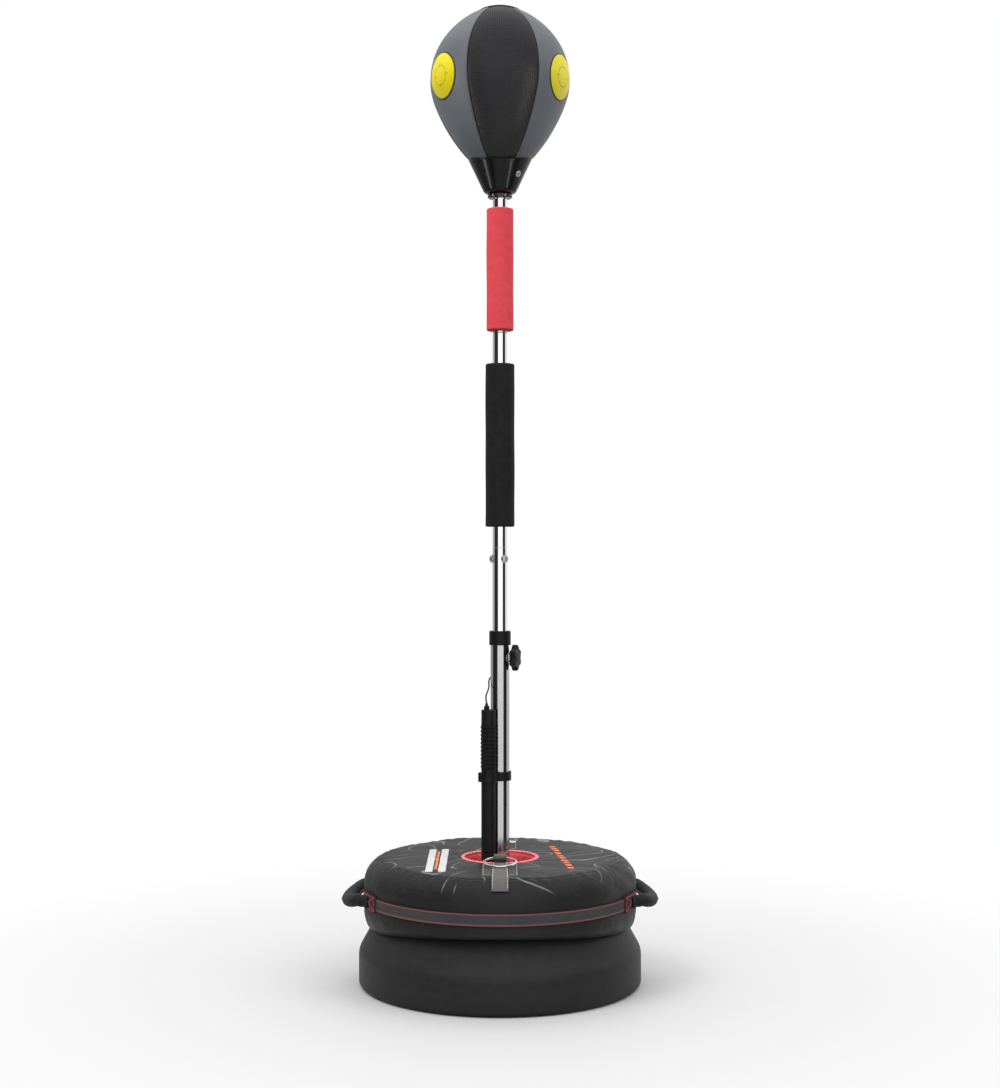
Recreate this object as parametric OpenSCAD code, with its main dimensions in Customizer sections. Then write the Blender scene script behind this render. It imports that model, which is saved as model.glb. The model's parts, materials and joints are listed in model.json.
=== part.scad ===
// Free-standing reflex bag: a weighted drum base, a sand-filled ring bag that sits on it, a
// telescopic pole with foam sleeves, a hidden coil spring, and a teardrop striking ball.
// +Z is up, -Y is the front, and the origin is on the floor under the middle of the pole.

/* [Base drum] */
// Outer radius of the drum
base_r = 237.5; // [220:0.5:250]
// Height of the flat middle of the drum's top above the floor
base_top = 100; // [96:1:104]
// Height of the raised rim round the drum's top, in which the bag sits
rim_top = 117; // [112:1:120]
// Thickness of the drum's moulded wall
base_wall = 4; // [3:0.5:5]

/* [Sand bag] */
// Outer radius of the ring bag
bag_r = 228; // [224:0.5:232]
// Height of the bag's flat top above the floor
bag_top = 211; // [206:1:216]
// Radius of the lined hole that the pole stands in
well_r = 58.3; // [54:0.1:60]
// Height of the middle of the webbing band
band_z = 151; // [146:1:156]
// Width of the webbing band
band_w = 22; // [18:1:26]

/* [Pole] */
// Outer radius of the lower tube
lower_r = 16; // [16:0.1:16.2]
// Outer radius of the middle tube, which slides in the lower one
mid_r = 12.7; // [12.5:0.1:12.8]
// Outer radius of the upper tube and of the short tube under the ball
upper_r = 12.45; // [12.3:0.05:12.5]
// Wall of every tube
tube_wall = 1.5; // [1.4:0.1:1.6]
// Height of the lower tube's top end
lower_top = 588; // [584:1:590]
// Height of the seam between the middle and the upper tube
seam_z = 733; // [728:1:738]
// Height of the lock knob's axis
lock_z = 547.3; // [540:0.1:552]
// Direction of the lock knob, in degrees round from the front
lock_az = 74; // [60:1:90]

/* [Foam sleeves] */
// Outer radius of the long black sleeve
black_foam_r = 24.5; // [22:0.5:27]
// Outer radius of the short red sleeve over the spring
red_foam_r = 22.7; // [21:0.1:25]

/* [Ball] */
// Radius of the ball at its widest
ball_r = 117.5; // [110:0.5:122]
// Height of the ball's widest ring
ball_z = 1518; // [1516:1:1520]
// Turn of the ball's panels, in degrees round from the front
ball_turn = 2.8; // [-30:0.1:30]

/* [Pump] */
// Radius of the pump's barrel
pump_r = 12; // [11:0.1:12]
// Distance between the pump's axis and the pole's
pump_off = 29; // [29:0.1:30]
// Direction of the pump from the pole, in degrees round from the front
pump_az = -42; // [-45:1:-38]

/* [Hidden] */
$fn = 72;

// Running gap between pieces that slide or turn, and the gap between pieces that only touch
run_gap = 0.05;
touch_gap = 0.1;

// Drum
pad_h = 5;
pad_r = 18;
pad_ring_r = 205;
pad_count = 6;
base_bottom = 2;
slope = 29.2; // lean of the shoulder from upright, in degrees
shoulder_r = 32;
shoulder_z = 51;
top_edge_r = 6;
tray_r = 188; // inside of the raised rim
tray_edge_r = 5;
foot_edge_r = 7;
slope_start_r = base_r - shoulder_r * (1 - cos(slope));
slope_start_z = shoulder_z + shoulder_r * sin(slope);
top_edge_z = rim_top - top_edge_r;
top_edge_x = slope_start_r - (top_edge_z + top_edge_r * sin(slope) - slope_start_z) * tan(slope)
    - top_edge_r * cos(slope);

// Filler, set square to the shoulder at the back of the drum
filler_z = 78;
filler_r = slope_start_r - (filler_z - slope_start_z) * tan(slope);
filler_az = 180;
pocket_r = 18.5;
pocket_depth = 14;
neck_r = 11;
neck_bore_r = 8;
neck_top = 5; // below the shoulder's surface
cap_r = 15;

// Pole foot
foot_r = 50;
foot_h = 5;
foot_pcd_r = 40;
bolt_r = 3.9;
bolt_count = 4;
bolt_turn = 45;
stub_r = lower_r - tube_wall - touch_gap;
stub_top = 185;
anchor_z = 135;
anchor_az = 48;
insert_r = 6;
insert_depth = 18;

// Bag
bag_bottom = base_top + 0.3;
bag_top_edge = 37;
bag_bottom_edge = 16.5;
bag_rest_gap = 0.3; // between the bag and the drum's rim
bag_hang_z = 107.5; // lowest point of the bag outside the rim
well_edge = 6;
lining_t = 1.5;
band_t = 2;
patch_az = 68.5; // middle of a handle patch, round from the front
patch_half = 7.2;
patch_h = 28;
patch_t = 2;
handle_arc_r = 103.5;
handle_cx = 154;
handle_tube_r = 10.8;
handle_half = 38;
handle_root = [46, 54];
handle_droop = 25;
handle_axis_x = handle_cx + handle_arc_r * cos(handle_half);

// Steel rings on the bag
ring_r = 26;
ring_wire_r = 2;
ring_tilt = 6.3;
ring_axis_y = 71.5;
ring_axis_z = bag_top + 11;
tab_patch_t = 0.8;
tab_w = 26;
tab_t = 2;
tab_in = 67;
tab_out = 222;
loop_w = 20;
loop_r_in = 4.3;
loop_r_out = 5.8;

// Pole
foot_top = base_top + foot_h;
collar_r = 18.25;
collar_top = 592.5;
collar_h = 24;
mid_bottom = 300;
bush_h = 20;
spigot_len = 70;
screw_z = 714;
screw_azs = [37, -85, 157];
screw_head_r = 7;
screw_head_h = 5;
boss_len = 3.4;
knob_gap = 0.2;
knob_h = 12.6;
knob_r = 22;
stud_r = 3.9;
lock_bore_r = 4;
tip_r = 3.5;
tip_len = 3;

// Sprung top
black_foam = [768, 1043];
red_foam = [1099, 1305];
upper_top = 1094.5;
plug_low = 1094.7;
spring_low = 1122.2;
spring_top = 1247.8;
plug_top = 1262;
spring_wire_r = 2.2;
spring_mean_r = 10.2;
spring_turns = 14;
neck_plug_r = 7.8;
top_tube_end = 1349;

// Ball
ball_up = 126; // height of the ball above its widest ring
ball_taper = 0.487; // degrees of the lower cosine for each millimetre below the widest ring
panel_t = 2.5;
seam_gap = 0.25;
panel_count = 6;
cup_top = 1388;
cup_bottom = 1330;
cup_top_r = ball_r * cos(ball_taper * (cup_top - ball_z)) + 0.5;
cup_low_r = 29.3;
cup_low_z = 1338;
cup_slope = atan((cup_top_r - cup_low_r) / (cup_top - cup_low_z));
panel_bottom = 1374;
patch_r = 38;
patch_t_top = 1.5;
disc_r = 39;
disc_z = 1514;
valve_z = 1359;
valve_az = 50.5;

// Pump
pump_bottom = 226;
pump_top = 461;
head_h = 24;
end_cap_h = 12;
handle_z = [184, 222];
clip_z = 348;
clip_h = 15;
piston_z = 424;
needle_xy = [0, 22.2];

// The hose's route, from the pump's nozzle up, over and down behind the pole
hose_r = 1.3;
hose_route = [
    [-22.4, -21.6, 472], [-23.2, -21.4, 476.5], [-23.6, -20.6, 481], [-23, -19, 485.6],
    [-21.6, -16.6, 489.6], [-20.1, -13.4, 493.2], [-19, -9.6, 496.6], [-18.6, -5.2, 500],
    [-18.8, -0.8, 503.6], [-18.7, 3.8, 507.2], [-17.6, 8.4, 510.6], [-15, 12.8, 513.6],
    [-11.2, 16.4, 515.2], [-6.8, 19, 515], [-2.8, 20.8, 512.6], [0, 21.6, 508.4],
    [1.6, 21.4, 503.2], [2.2, 20.7, 497.4], [2.2, 19.8, 491.4], [1.9, 19, 485.4],
    [1.4, 18.4, 479.4], [0.9, 18.1, 473.2], [0.4, 18, 467], [0, 18, 461], [-0.3, 18, 455],
    [-0.4, 18, 449], [-0.4, 18, 443], [-0.3, 18, 437], [-0.2, 18, 431], [0, 18.1, 425],
    [0, 18.5, 419], [0, 19.3, 413], [0, 20.4, 407], [0, 21.4, 401], [0, 22, 395.5], [0, 22.2, 390]
];

// ---- helpers ----

// Points on an arc about [x, z], from angle a to angle b in steps of about 6 degrees
function arc(x, z, r, a, b) =
    let (n = max(2, ceil(abs(b - a) / 6)))
    [for (i = [0 : n]) let (t = a + (b - a) * i / n) [x + r * cos(t), z + r * sin(t)]];

// Turns its children so that their +X points az degrees round from the front
module facing(az) {
    rotate([0, 0, az - 90]) children();
}

// A tube along Z
module tube(r_out, r_in, z0, z1) {
    difference() {
        translate([0, 0, z0]) cylinder(r = r_out, h = z1 - z0);
        translate([0, 0, z0 - 1]) cylinder(r = r_in, h = z1 - z0 + 2);
    }
}

// A round bar pointing outwards along +X, from x0 to x1
module bar_x(r, x0, x1) {
    translate([x0, 0, 0]) rotate([0, 90, 0]) cylinder(r = r, h = x1 - x0);
}

// A hexagon bolt head or nut along Z, measured across its corners
module hex(r, h) {
    cylinder(r = r, h = h, $fn = 6);
}

// Places its children in the pump's own frame, with its axis on Z
module at_pump() {
    facing(pump_az) translate([pump_off, 0, 0]) children();
}

// ---- drum ----

// Half outline of the drum, drawn inset by t on every side
module drum_outline(t) {
    polygon(concat(
        [[0, base_bottom + t]],
        arc(base_r - foot_edge_r, base_bottom + foot_edge_r, foot_edge_r - t, -90, 0),
        arc(base_r - shoulder_r, shoulder_z, shoulder_r - t, 0, slope),
        arc(top_edge_x, top_edge_z, top_edge_r - t, slope, 90),
        arc(tray_r + tray_edge_r, rim_top - tray_edge_r, tray_edge_r - t, 90, 180),
        [[tray_r + t, base_top - t], [0, base_top - t]]
    ));
}

// Puts its children on the shoulder at the filler, with +Z square to the surface
module at_filler() {
    facing(filler_az) translate([filler_r, 0, filler_z]) rotate([0, 90 - slope, 0]) children();
}

// The moulded bosses and the filler cup that stand inside the drum, grown by g
module drum_inserts(g) {
    for (i = [0 : bolt_count - 1])
        rotate([0, 0, bolt_turn + i * 360 / bolt_count])
            translate([foot_pcd_r, 0, base_top - insert_depth - base_wall - g])
                cylinder(r = insert_r + base_wall + g, h = insert_depth + g);
    at_filler()
        translate([0, 0, -pocket_depth - base_wall - g])
            cylinder(r = pocket_r + base_wall + g, h = pocket_depth + base_wall + g);
}

module base_shell() {
    color("#2b2b2c")
    difference() {
        rotate_extrude($fn = 180) drum_outline(0);
        difference() {
            rotate_extrude($fn = 180) drum_outline(base_wall);
            drum_inserts(0);
        }
        for (i = [0 : bolt_count - 1])
            rotate([0, 0, bolt_turn + i * 360 / bolt_count])
                translate([foot_pcd_r, 0, base_top - insert_depth])
                    cylinder(r = insert_r, h = insert_depth + 1);
        for (i = [0 : pad_count - 1])
            rotate([0, 0, i * 360 / pad_count + 30])
                translate([pad_ring_r, 0, 0]) cylinder(r = pad_r + touch_gap, h = pad_h - 1);
        at_filler() {
            difference() {
                translate([0, 0, -pocket_depth]) cylinder(r = pocket_r, h = pocket_depth + 20);
                translate([0, 0, -pocket_depth - 1])
                    cylinder(r = neck_r, h = pocket_depth + 1 - neck_top);
            }
            translate([0, 0, -pocket_depth - base_wall - 1])
                cylinder(r = neck_bore_r, h = pocket_depth + base_wall);
        }
    }
}

module ballast_fill() {
    color("#b39b74")
    difference() {
        intersection() {
            rotate_extrude($fn = 180) drum_outline(base_wall + touch_gap);
            cylinder(r = base_r, h = base_top - 14);
        }
        drum_inserts(touch_gap);
    }
}

module base_pads() {
    color("#1b1b1b")
    for (i = [0 : pad_count - 1])
        rotate([0, 0, i * 360 / pad_count + 30])
            translate([pad_ring_r, 0, 0]) {
                cylinder(r = pad_r, h = pad_h - 1);
            }
}

module filler_seal() {
    color("#5a5a5a")
    at_filler() tube(neck_r, neck_bore_r, -neck_top + run_gap, -neck_top + 1.5);
}

module filler_cap() {
    ribs = 12;
    color("#1f1f20")
    at_filler()
        difference() {
            union() {
                translate([0, 0, -12.5]) cylinder(r = cap_r, h = 12);
                for (i = [0 : ribs - 1])
                    rotate([0, 0, i * 360 / ribs])
                        translate([cap_r, 0, -12]) cylinder(r = 1, h = 11);
            }
            translate([0, 0, -13]) cylinder(r = neck_r + 0.3, h = 13 - neck_top + 1.55);
        }
}

// ---- pole foot ----

module pole_foot() {
    color("#3a3a3c")
    difference() {
        union() {
            translate([0, 0, base_top + run_gap]) cylinder(r = foot_r, h = foot_h - run_gap);
            translate([0, 0, foot_top]) cylinder(r = stub_r, h = stub_top - foot_top);
        }
        translate([0, 0, base_top - 1]) cylinder(r = stub_r - 2.5, h = stub_top);
        for (i = [0 : bolt_count - 1])
            rotate([0, 0, bolt_turn + i * 360 / bolt_count])
                translate([foot_pcd_r, 0, base_top - 1]) cylinder(r = bolt_r + 0.5, h = foot_h + 2);
        translate([0, 0, anchor_z]) facing(anchor_az) bar_x(bolt_r + 0.1, -30, 30);
    }
}

module foot_bolts() {
    color("#a8a9ab")
    for (i = [0 : bolt_count - 1])
        rotate([0, 0, bolt_turn + i * 360 / bolt_count])
            translate([foot_pcd_r, 0, 0]) {
                translate([0, 0, base_top - insert_depth + 2])
                    cylinder(r = bolt_r, h = insert_depth + foot_h);
                translate([0, 0, foot_top + run_gap]) hex(7.5, 5);
            }
}

module foot_inserts() {
    color("#c2a14a")
    for (i = [0 : bolt_count - 1])
        rotate([0, 0, bolt_turn + i * 360 / bolt_count])
            translate([foot_pcd_r, 0, 0])
                tube(insert_r - 0.02, bolt_r + 0.05, base_top - insert_depth + 0.1, base_top);
}

module anchor_bolt() {
    color("#a8a9ab")
    translate([0, 0, anchor_z]) facing(anchor_az) {
        bar_x(bolt_r, -24.5, lower_r + 1);
        translate([lower_r + touch_gap, 0, 0]) rotate([0, 90, 0]) hex(7.5, 5);
    }
}

module anchor_nut() {
    color("#a8a9ab")
    translate([0, 0, anchor_z]) facing(anchor_az)
        difference() {
            translate([-lower_r - touch_gap - 6.5, 0, 0]) rotate([0, 90, 0]) hex(7.5, 6.5);
            bar_x(bolt_r + 0.05, -30, 0);
        }
}

// ---- sand bag ----

module sandbag() {
    color("#262627")
    rotate_extrude($fn = 180)
        polygon(concat(
            [[well_r + lining_t, bag_bottom], [tray_r - 1.8, bag_bottom]],
            arc(tray_r + tray_edge_r, rim_top - tray_edge_r, tray_edge_r + bag_rest_gap, 180, 90),
            arc(top_edge_x, top_edge_z, top_edge_r + bag_rest_gap, 90, slope),
            arc(bag_r - bag_bottom_edge, bag_hang_z + bag_bottom_edge, bag_bottom_edge, -90, 0),
            arc(bag_r - bag_top_edge, bag_top - bag_top_edge, bag_top_edge, 0, 90),
            arc(well_r + lining_t + well_edge, bag_top - well_edge, well_edge, 90, 180)
        ));
}

module well_lining() {
    color("#b5303d")
    tube(well_r + lining_t - run_gap, well_r, bag_bottom + 0.2, bag_top - well_edge - 0.5);
}

module bag_band() {
    color("#4b4648")
    tube(bag_r + 0.1 + band_t, bag_r + 0.1, band_z - band_w / 2, band_z + band_w / 2);
}

// A stretch of the handle's padded webbing, between angles a0 and a1 about its own centre
module handle_arc(a0, a1) {
    rotate([0, 0, a0])
        rotate_extrude(angle = a1 - a0) translate([handle_arc_r, 0]) circle(r = handle_tube_r);
}

// The sewn ends of both handles: a stitched patch on the band and a short webbing root
module handle_patches() {
    r0 = bag_r + band_t + 0.2;
    root_mid = (handle_root[0] + handle_root[1]) / 2;
    root_len = handle_arc_r * (handle_root[1] - handle_root[0]) * PI / 180;
    color("#2a2022")
    for (side = [0, 180], end = [-1, 1])
        rotate([0, 0, side]) {
            translate([0, 0, band_z - patch_h / 2])
                rotate([0, 0, end * (90 - patch_az) - patch_half])
                    rotate_extrude(angle = 2 * patch_half, $fn = 180)
                        translate([r0, 0]) square([patch_t, patch_h]);
            difference() {
                translate([handle_cx, 0, band_z]) rotate([0, 0, end * root_mid])
                    translate([handle_arc_r - 9, -root_len / 2, -9]) cube([18, root_len, 18]);
                translate([0, 0, band_z - 20]) cylinder(r = r0 + patch_t + touch_gap, h = 40, $fn = 180);
            }
        }
}

// The moving part of a handle, on the +X side, drooping from the line through its ends
module handle() {
    color("#242424")
    translate([handle_axis_x, 0, band_z]) rotate([0, handle_droop, 0])
        translate([handle_cx - handle_axis_x, 0, 0]) {
            handle_arc(-handle_half, handle_half);
            for (end = [-1, 1])
                rotate([0, 0, end * handle_half])
                    translate([handle_arc_r, 0, 0]) sphere(r = handle_tube_r);
        }
}

module handle_left() {
    mirror([1, 0, 0]) handle();
}

module handle_right() {
    handle();
}

// A strip laid over the bag's top and shoulder on the front side, t thick and h above the fabric
module laid_strip(w, y_in, y_out, h, t) {
    r0 = bag_top_edge + h;
    edge = bag_r - bag_top_edge;
    inner = concat([[y_in, bag_top + h]], arc(edge, bag_top - bag_top_edge, r0, 90, 8));
    outer = concat([[y_in, bag_top + h + t]], arc(edge, bag_top - bag_top_edge, r0 + t, 90, 8));
    intersection() {
        rotate_extrude($fn = 180)
            polygon(concat(outer, [for (i = [len(inner) - 1 : -1 : 0]) inner[i]]));
        translate([-w / 2, -y_out, 0]) cube([w, y_out - y_in - 1, 2 * bag_top]);
    }
}

// Webbing that holds a steel ring on the bag's top, on the front side
module ring_tab() {
    h0 = bag_top + tab_patch_t + 0.2;
    color("#58585a") {
        laid_strip(tab_w, tab_in - 1, tab_out, tab_patch_t + 0.2, tab_t);
        difference() {
            union() {
                translate([-loop_w / 2, -ring_axis_y - 1.6, h0 + tab_t - 0.05])
                    cube([loop_w, 3.2, ring_axis_z - h0 - tab_t]);
                translate([0, -ring_axis_y, ring_axis_z]) rotate([0, 90, 0])
                    cylinder(r = loop_r_out, h = loop_w, center = true);
            }
            translate([0, -ring_axis_y, ring_axis_z]) rotate([0, 90, 0])
                cylinder(r = loop_r_in, h = loop_w + 2, center = true);
        }
    }
}

// The thin patches of fabric sewn under the ring tabs
module tab_patches() {
    color("#6b6c6e")
    for (side = [0, 180])
        rotate([0, 0, side]) laid_strip(60, tab_in + 4, 176, 0.1, tab_patch_t);
}

module ring_tab_front() {
    ring_tab();
}

module ring_tab_rear() {
    rotate([0, 0, 180]) ring_tab();
}

// A welded steel ring, held on the pole's side by the tab's loop and lying outwards on the tab
module steel_ring() {
    color("#d8d9db")
    translate([0, -ring_axis_y, ring_axis_z]) rotate([ring_tilt, 0, 0])
        translate([0, -ring_r, 0]) rotate_extrude() translate([ring_r, 0]) circle(r = ring_wire_r);
}

module ring_front() {
    steel_ring();
}

module ring_rear() {
    rotate([0, 0, 180]) steel_ring();
}

// ---- pole ----

module lower_tube() {
    color("#a3a4a6")
    difference() {
        tube(lower_r, lower_r - tube_wall, foot_top + run_gap, lower_top);
        translate([0, 0, anchor_z]) facing(anchor_az) bar_x(bolt_r + 0.1, -30, 30);
        translate([0, 0, lock_z]) facing(lock_az) bar_x(lock_bore_r + 0.2, 5, 30);
    }
}

module tube_collar() {
    lip = 4;
    color("#1d1d1e")
    difference() {
        translate([0, 0, collar_top - collar_h])
            rotate_extrude()
                polygon(concat(
                    [[0, 0]],
                    arc(collar_r - 1.5, 1.5, 1.5, -90, 0),
                    arc(collar_r - 1.5, collar_h - 1.5, 1.5, 0, 90),
                    [[0, collar_h]]
                ));
        translate([0, 0, collar_top - collar_h - 1])
            cylinder(r = lower_r + run_gap, h = collar_h - lip + 1);
        translate([0, 0, collar_top - collar_h - 1]) cylinder(r = mid_r + run_gap, h = collar_h + 2);
    }
}

module lock_boss() {
    color("#8f9092")
    translate([0, 0, lock_z]) facing(lock_az)
        difference() {
            bar_x(8, lower_r - 2.2, lower_r + boss_len);
            bar_x(lock_bore_r, 0, 40);
            translate([0, 0, -20]) cylinder(r = lower_r + run_gap, h = 40);
        }
}

// Swivel tip that presses on the middle tube
module lock_tip() {
    color("#b8963e")
    translate([0, 0, lock_z]) facing(lock_az)
        bar_x(tip_r, mid_r + run_gap, mid_r + tip_len - run_gap);
}

module lock_stud() {
    color("#9a9b9d")
    translate([0, 0, lock_z]) facing(lock_az)
        bar_x(stud_r, mid_r + tip_len, lower_r + boss_len + knob_gap + knob_h - 3);
}

// Six-lobed hand knob moulded on the stud
module lock_knob() {
    lobes = 6;
    lobe_depth = 4.6;
    step = 5;
    x0 = lower_r + boss_len + knob_gap;
    outline = [for (a = [0 : step : 359])
        let (r = knob_r - lobe_depth * (1 - cos(lobes * a)) / 2)
        [r * cos(a), r * sin(a)]];
    color("#161617")
    translate([0, 0, lock_z]) facing(lock_az) rotate([0, 90, 0])
        difference() {
            translate([0, 0, x0]) linear_extrude(knob_h) polygon(outline);
            cylinder(r = stud_r, h = x0 + knob_h - 3);
        }
}

module mid_tube() {
    color("#c9cacc")
    difference() {
        tube(mid_r, mid_r - tube_wall, mid_bottom, seam_z);
        translate([0, 0, screw_z]) for (a = screw_azs) facing(a) bar_x(3.1, 0, 20);
    }
}

module glide_bush() {
    color("#26272a")
    tube(lower_r - tube_wall - run_gap, mid_r + 0.02, mid_bottom, mid_bottom + bush_h);
}

module upper_tube() {
    color("#d2d3d5")
    difference() {
        union() {
            translate([0, 0, seam_z - spigot_len])
                cylinder(r = mid_r - tube_wall - run_gap, h = spigot_len + 1);
            translate([0, 0, seam_z + touch_gap]) cylinder(r = upper_r, h = upper_top - seam_z - touch_gap);
        }
        translate([0, 0, seam_z - spigot_len - 1]) cylinder(r = upper_r - 2.8, h = spigot_len + 4);
        translate([0, 0, seam_z + 2]) cylinder(r = upper_r - tube_wall, h = upper_top);
        translate([0, 0, screw_z]) for (a = screw_azs) facing(a) bar_x(3.1, 0, 20);
    }
}

module joint_screws() {
    color("#b9babc")
    translate([0, 0, screw_z])
        for (a = screw_azs)
            facing(a) {
                bar_x(3, mid_r - 4.5, mid_r + 1);
                difference() {
                    translate([mid_r - 1.6, 0, 0]) sphere(r = screw_head_r);
                    translate([0, 0, -20]) cylinder(r = mid_r + run_gap, h = 40);
                    translate([mid_r + screw_head_h, -10, -10]) cube(20);
                }
            }
}

// A foam sleeve with eased ends
module foam_sleeve(r_out, r_in, z0, z1) {
    ease = 3;
    translate([0, 0, z0])
        rotate_extrude()
            polygon(concat(
                [[r_in, 0]],
                arc(r_out - ease, ease, ease, -90, 0),
                arc(r_out - ease, z1 - z0 - ease, ease, 0, 90),
                [[r_in, z1 - z0]]
            ));
}

module foam_black() {
    color("#1c1c1d") foam_sleeve(black_foam_r, upper_r + run_gap, black_foam[0], black_foam[1]);
}

// ---- sprung top ----

module spring_plug_lower() {
    color("#8d8e90") {
        translate([0, 0, plug_low - 30])
            cylinder(r = upper_r - tube_wall - run_gap, h = 30.1);
        translate([0, 0, plug_low]) cylinder(r = upper_r, h = spring_low - plug_low - touch_gap);
        translate([0, 0, plug_low]) cylinder(r = neck_plug_r, h = spring_low - plug_low + 22);
    }
}

module spring_plug_upper() {
    color("#8d8e90") {
        translate([0, 0, spring_top + touch_gap])
            cylinder(r = upper_r, h = plug_top - spring_top - touch_gap);
        translate([0, 0, spring_top - 22]) cylinder(r = neck_plug_r, h = 30);
        translate([0, 0, plug_top - 0.1]) cylinder(r = upper_r - tube_wall - run_gap, h = 30);
    }
}

// Rings of points that follow a path, as one closed tube: rings is a list of equal lists
module skin(rings) {
    n = len(rings[0]);
    last = len(rings) - 1;
    polyhedron(
        points = [for (ring = rings) each ring],
        faces = concat(
            [[for (i = [0 : n - 1]) i]],
            [for (k = [0 : last - 1], i = [0 : n - 1])
                let (j = (i + 1) % n) [k * n + i, k * n + n + i, k * n + n + j, k * n + j]],
            [[for (i = [n - 1 : -1 : 0]) last * n + i]]
        )
    );
}

// Height along the coil after a share of its turns, closed up at both ends
function coil_z(u) =
    let (closed = 1.5 / spring_turns, wire = 2 * spring_wire_r + 0.2,
         z0 = spring_low + spring_wire_r + touch_gap,
         z1 = spring_top - spring_wire_r - touch_gap,
         rise = closed * spring_turns * wire)
    u < closed ? z0 + rise * u / closed
    : u > 1 - closed ? z1 - rise * (1 - u) / closed
    : z0 + rise + (z1 - z0 - 2 * rise) * (u - closed) / (1 - 2 * closed);

module spring_coil() {
    per_turn = 20;
    sides = 8;
    steps = spring_turns * per_turn;
    color("#6f7073")
    skin([
        for (k = [0 : steps])
            let (t = 360 * k / per_turn)
            [for (i = [0 : sides - 1])
                let (a = -360 * i / sides, r = spring_mean_r + spring_wire_r * cos(a))
                [r * cos(t), r * sin(t), coil_z(k / steps) + spring_wire_r * sin(a)]]
    ]);
}

module foam_red() {
    color("#f0404d") foam_sleeve(red_foam_r, upper_r + 0.25, red_foam[0], red_foam[1]);
}

module top_tube() {
    color("#d2d3d5")
    difference() {
        tube(upper_r, upper_r - tube_wall, plug_top + run_gap, top_tube_end);
        translate([0, 0, top_tube_end - 7]) facing(0) bar_x(2.6, -20, 20);
    }
}

// ---- ball ----

// Half outline of the ball inset by t, from height z0 up to an angle a above the widest ring
function ball_curve(t, z0, a) = concat(
    [for (i = [0 : 16])
        let (dz = (z0 - ball_z) * (1 - i / 16))
        [ball_r * cos(ball_taper * dz) - t, ball_z + dz]],
    [for (i = [1 : 16])
        let (b = a * i / 16)
        [(ball_r - t) * cos(b), ball_z + (ball_up - t) * sin(b)]]
);

// A ring of the ball's skin between insets t0 (outer) and t1 (inner)
module ball_skin(t0, t1, z0, a) {
    inner = ball_curve(t1, z0, a);
    polygon(concat(
        ball_curve(t0, z0, a),
        [for (i = [len(inner) - 1 : -1 : 0]) inner[i]]
    ));
}

module ball_ferrule() {
    color("#232324")
    rotate_extrude()
        polygon(concat(
            [[upper_r + run_gap, 1322], [18.2, 1322]],
            arc(18.2, 1325.8, 2.6, -70, 70),
            [[17.5, cup_bottom - run_gap], [upper_r + run_gap, cup_bottom - run_gap]]
        ));
}

module ball_cup() {
    valve_x = cup_low_r + (valve_z - cup_low_z) * tan(cup_slope);
    color("#131314")
    difference() {
        rotate_extrude()
            polygon(concat(
                [[upper_r + run_gap, cup_bottom]],
                [[20.5, cup_bottom], [25, cup_bottom + 1.3], [28, cup_bottom + 4.3]],
                [[cup_low_r, cup_low_z], [cup_top_r, cup_top]],
                [for (z = [cup_top : -3.5 : panel_bottom])
                    [ball_r * cos(ball_taper * (z - ball_z)) + 0.15, z]],
                [[24.5, cup_bottom + 6], [upper_r + run_gap, cup_bottom + 4]]
            ));
        facing(valve_az) translate([valve_x, 0, valve_z]) rotate([0, 90 + cup_slope, 0])
            translate([0, 0, -20]) cylinder(r = 3.1, h = 40);
    }
}

module ball_hub() {
    color("#8a6f4d")
    difference() {
        rotate_extrude()
            polygon([[0, cup_bottom + 4.4], [14, cup_bottom + 4.4], [24, cup_bottom + 6.2],
                     [29.5, cup_bottom + 20], [0, cup_bottom + 20]]);
        translate([0, 0, cup_bottom]) cylinder(r = upper_r + 0.02, h = top_tube_end - cup_bottom + 0.1);
        translate([0, 0, top_tube_end - 7]) facing(0) bar_x(2.6, -40, 40);
    }
}

module hub_pin() {
    color("#9a9b9d")
    translate([0, 0, top_tube_end - 7]) facing(0) bar_x(2.5, -25, 25);
}

module ball_bladder() {
    t = panel_t + 0.3;
    outer = ball_curve(t, panel_bottom + 1, 90);
    inner = ball_curve(t + 1.5, panel_bottom + 2.5, 90);
    color("#3b3b3b")
    rotate_extrude()
        polygon(concat(
            [[0, panel_bottom + 1]], outer,
            [for (i = [len(inner) - 1 : -1 : 0]) inner[i]], [[0, panel_bottom + 2.5]]
        ));
}

// Three of the ball's six panels, starting with panel number first
module ball_panels(first) {
    sweep = 360 / panel_count;
    for (i = [first : 2 : panel_count - 1])
        rotate([0, 0, ball_turn - 90 + (i - 0.5) * sweep + seam_gap / 2])
            rotate_extrude(angle = sweep - seam_gap) ball_skin(0, panel_t, panel_bottom, 86);
}

module ball_panels_black() {
    color("#2e2e30") ball_panels(0);
}

module ball_panels_grey() {
    color("#55585b") ball_panels(1);
}

module ball_top_patch() {
    a0 = acos(patch_r / ball_r);
    turns = [for (i = [0 : 6]) a0 + (90 - a0) * i / 6];
    color("#2b2b2d")
    rotate_extrude()
        polygon(concat(
            [for (b = turns) [(ball_r + patch_t_top) * cos(b), ball_z + (ball_up + patch_t_top) * sin(b)]],
            [for (i = [6 : -1 : 0])
                [(ball_r + 0.05) * cos(turns[i]), ball_z + (ball_up + 0.05) * sin(turns[i])]]
        ));
}

module ball_top_nub() {
    z0 = ball_z + ball_up + patch_t_top + 0.05;
    color("#1b1b1c")
    rotate_extrude()
        polygon(concat([[0, z0], [6, z0]], arc(4.2, z0 + 0.6, 2.1, -10, 90), [[0, z0 + 2.7]]));
}

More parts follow.
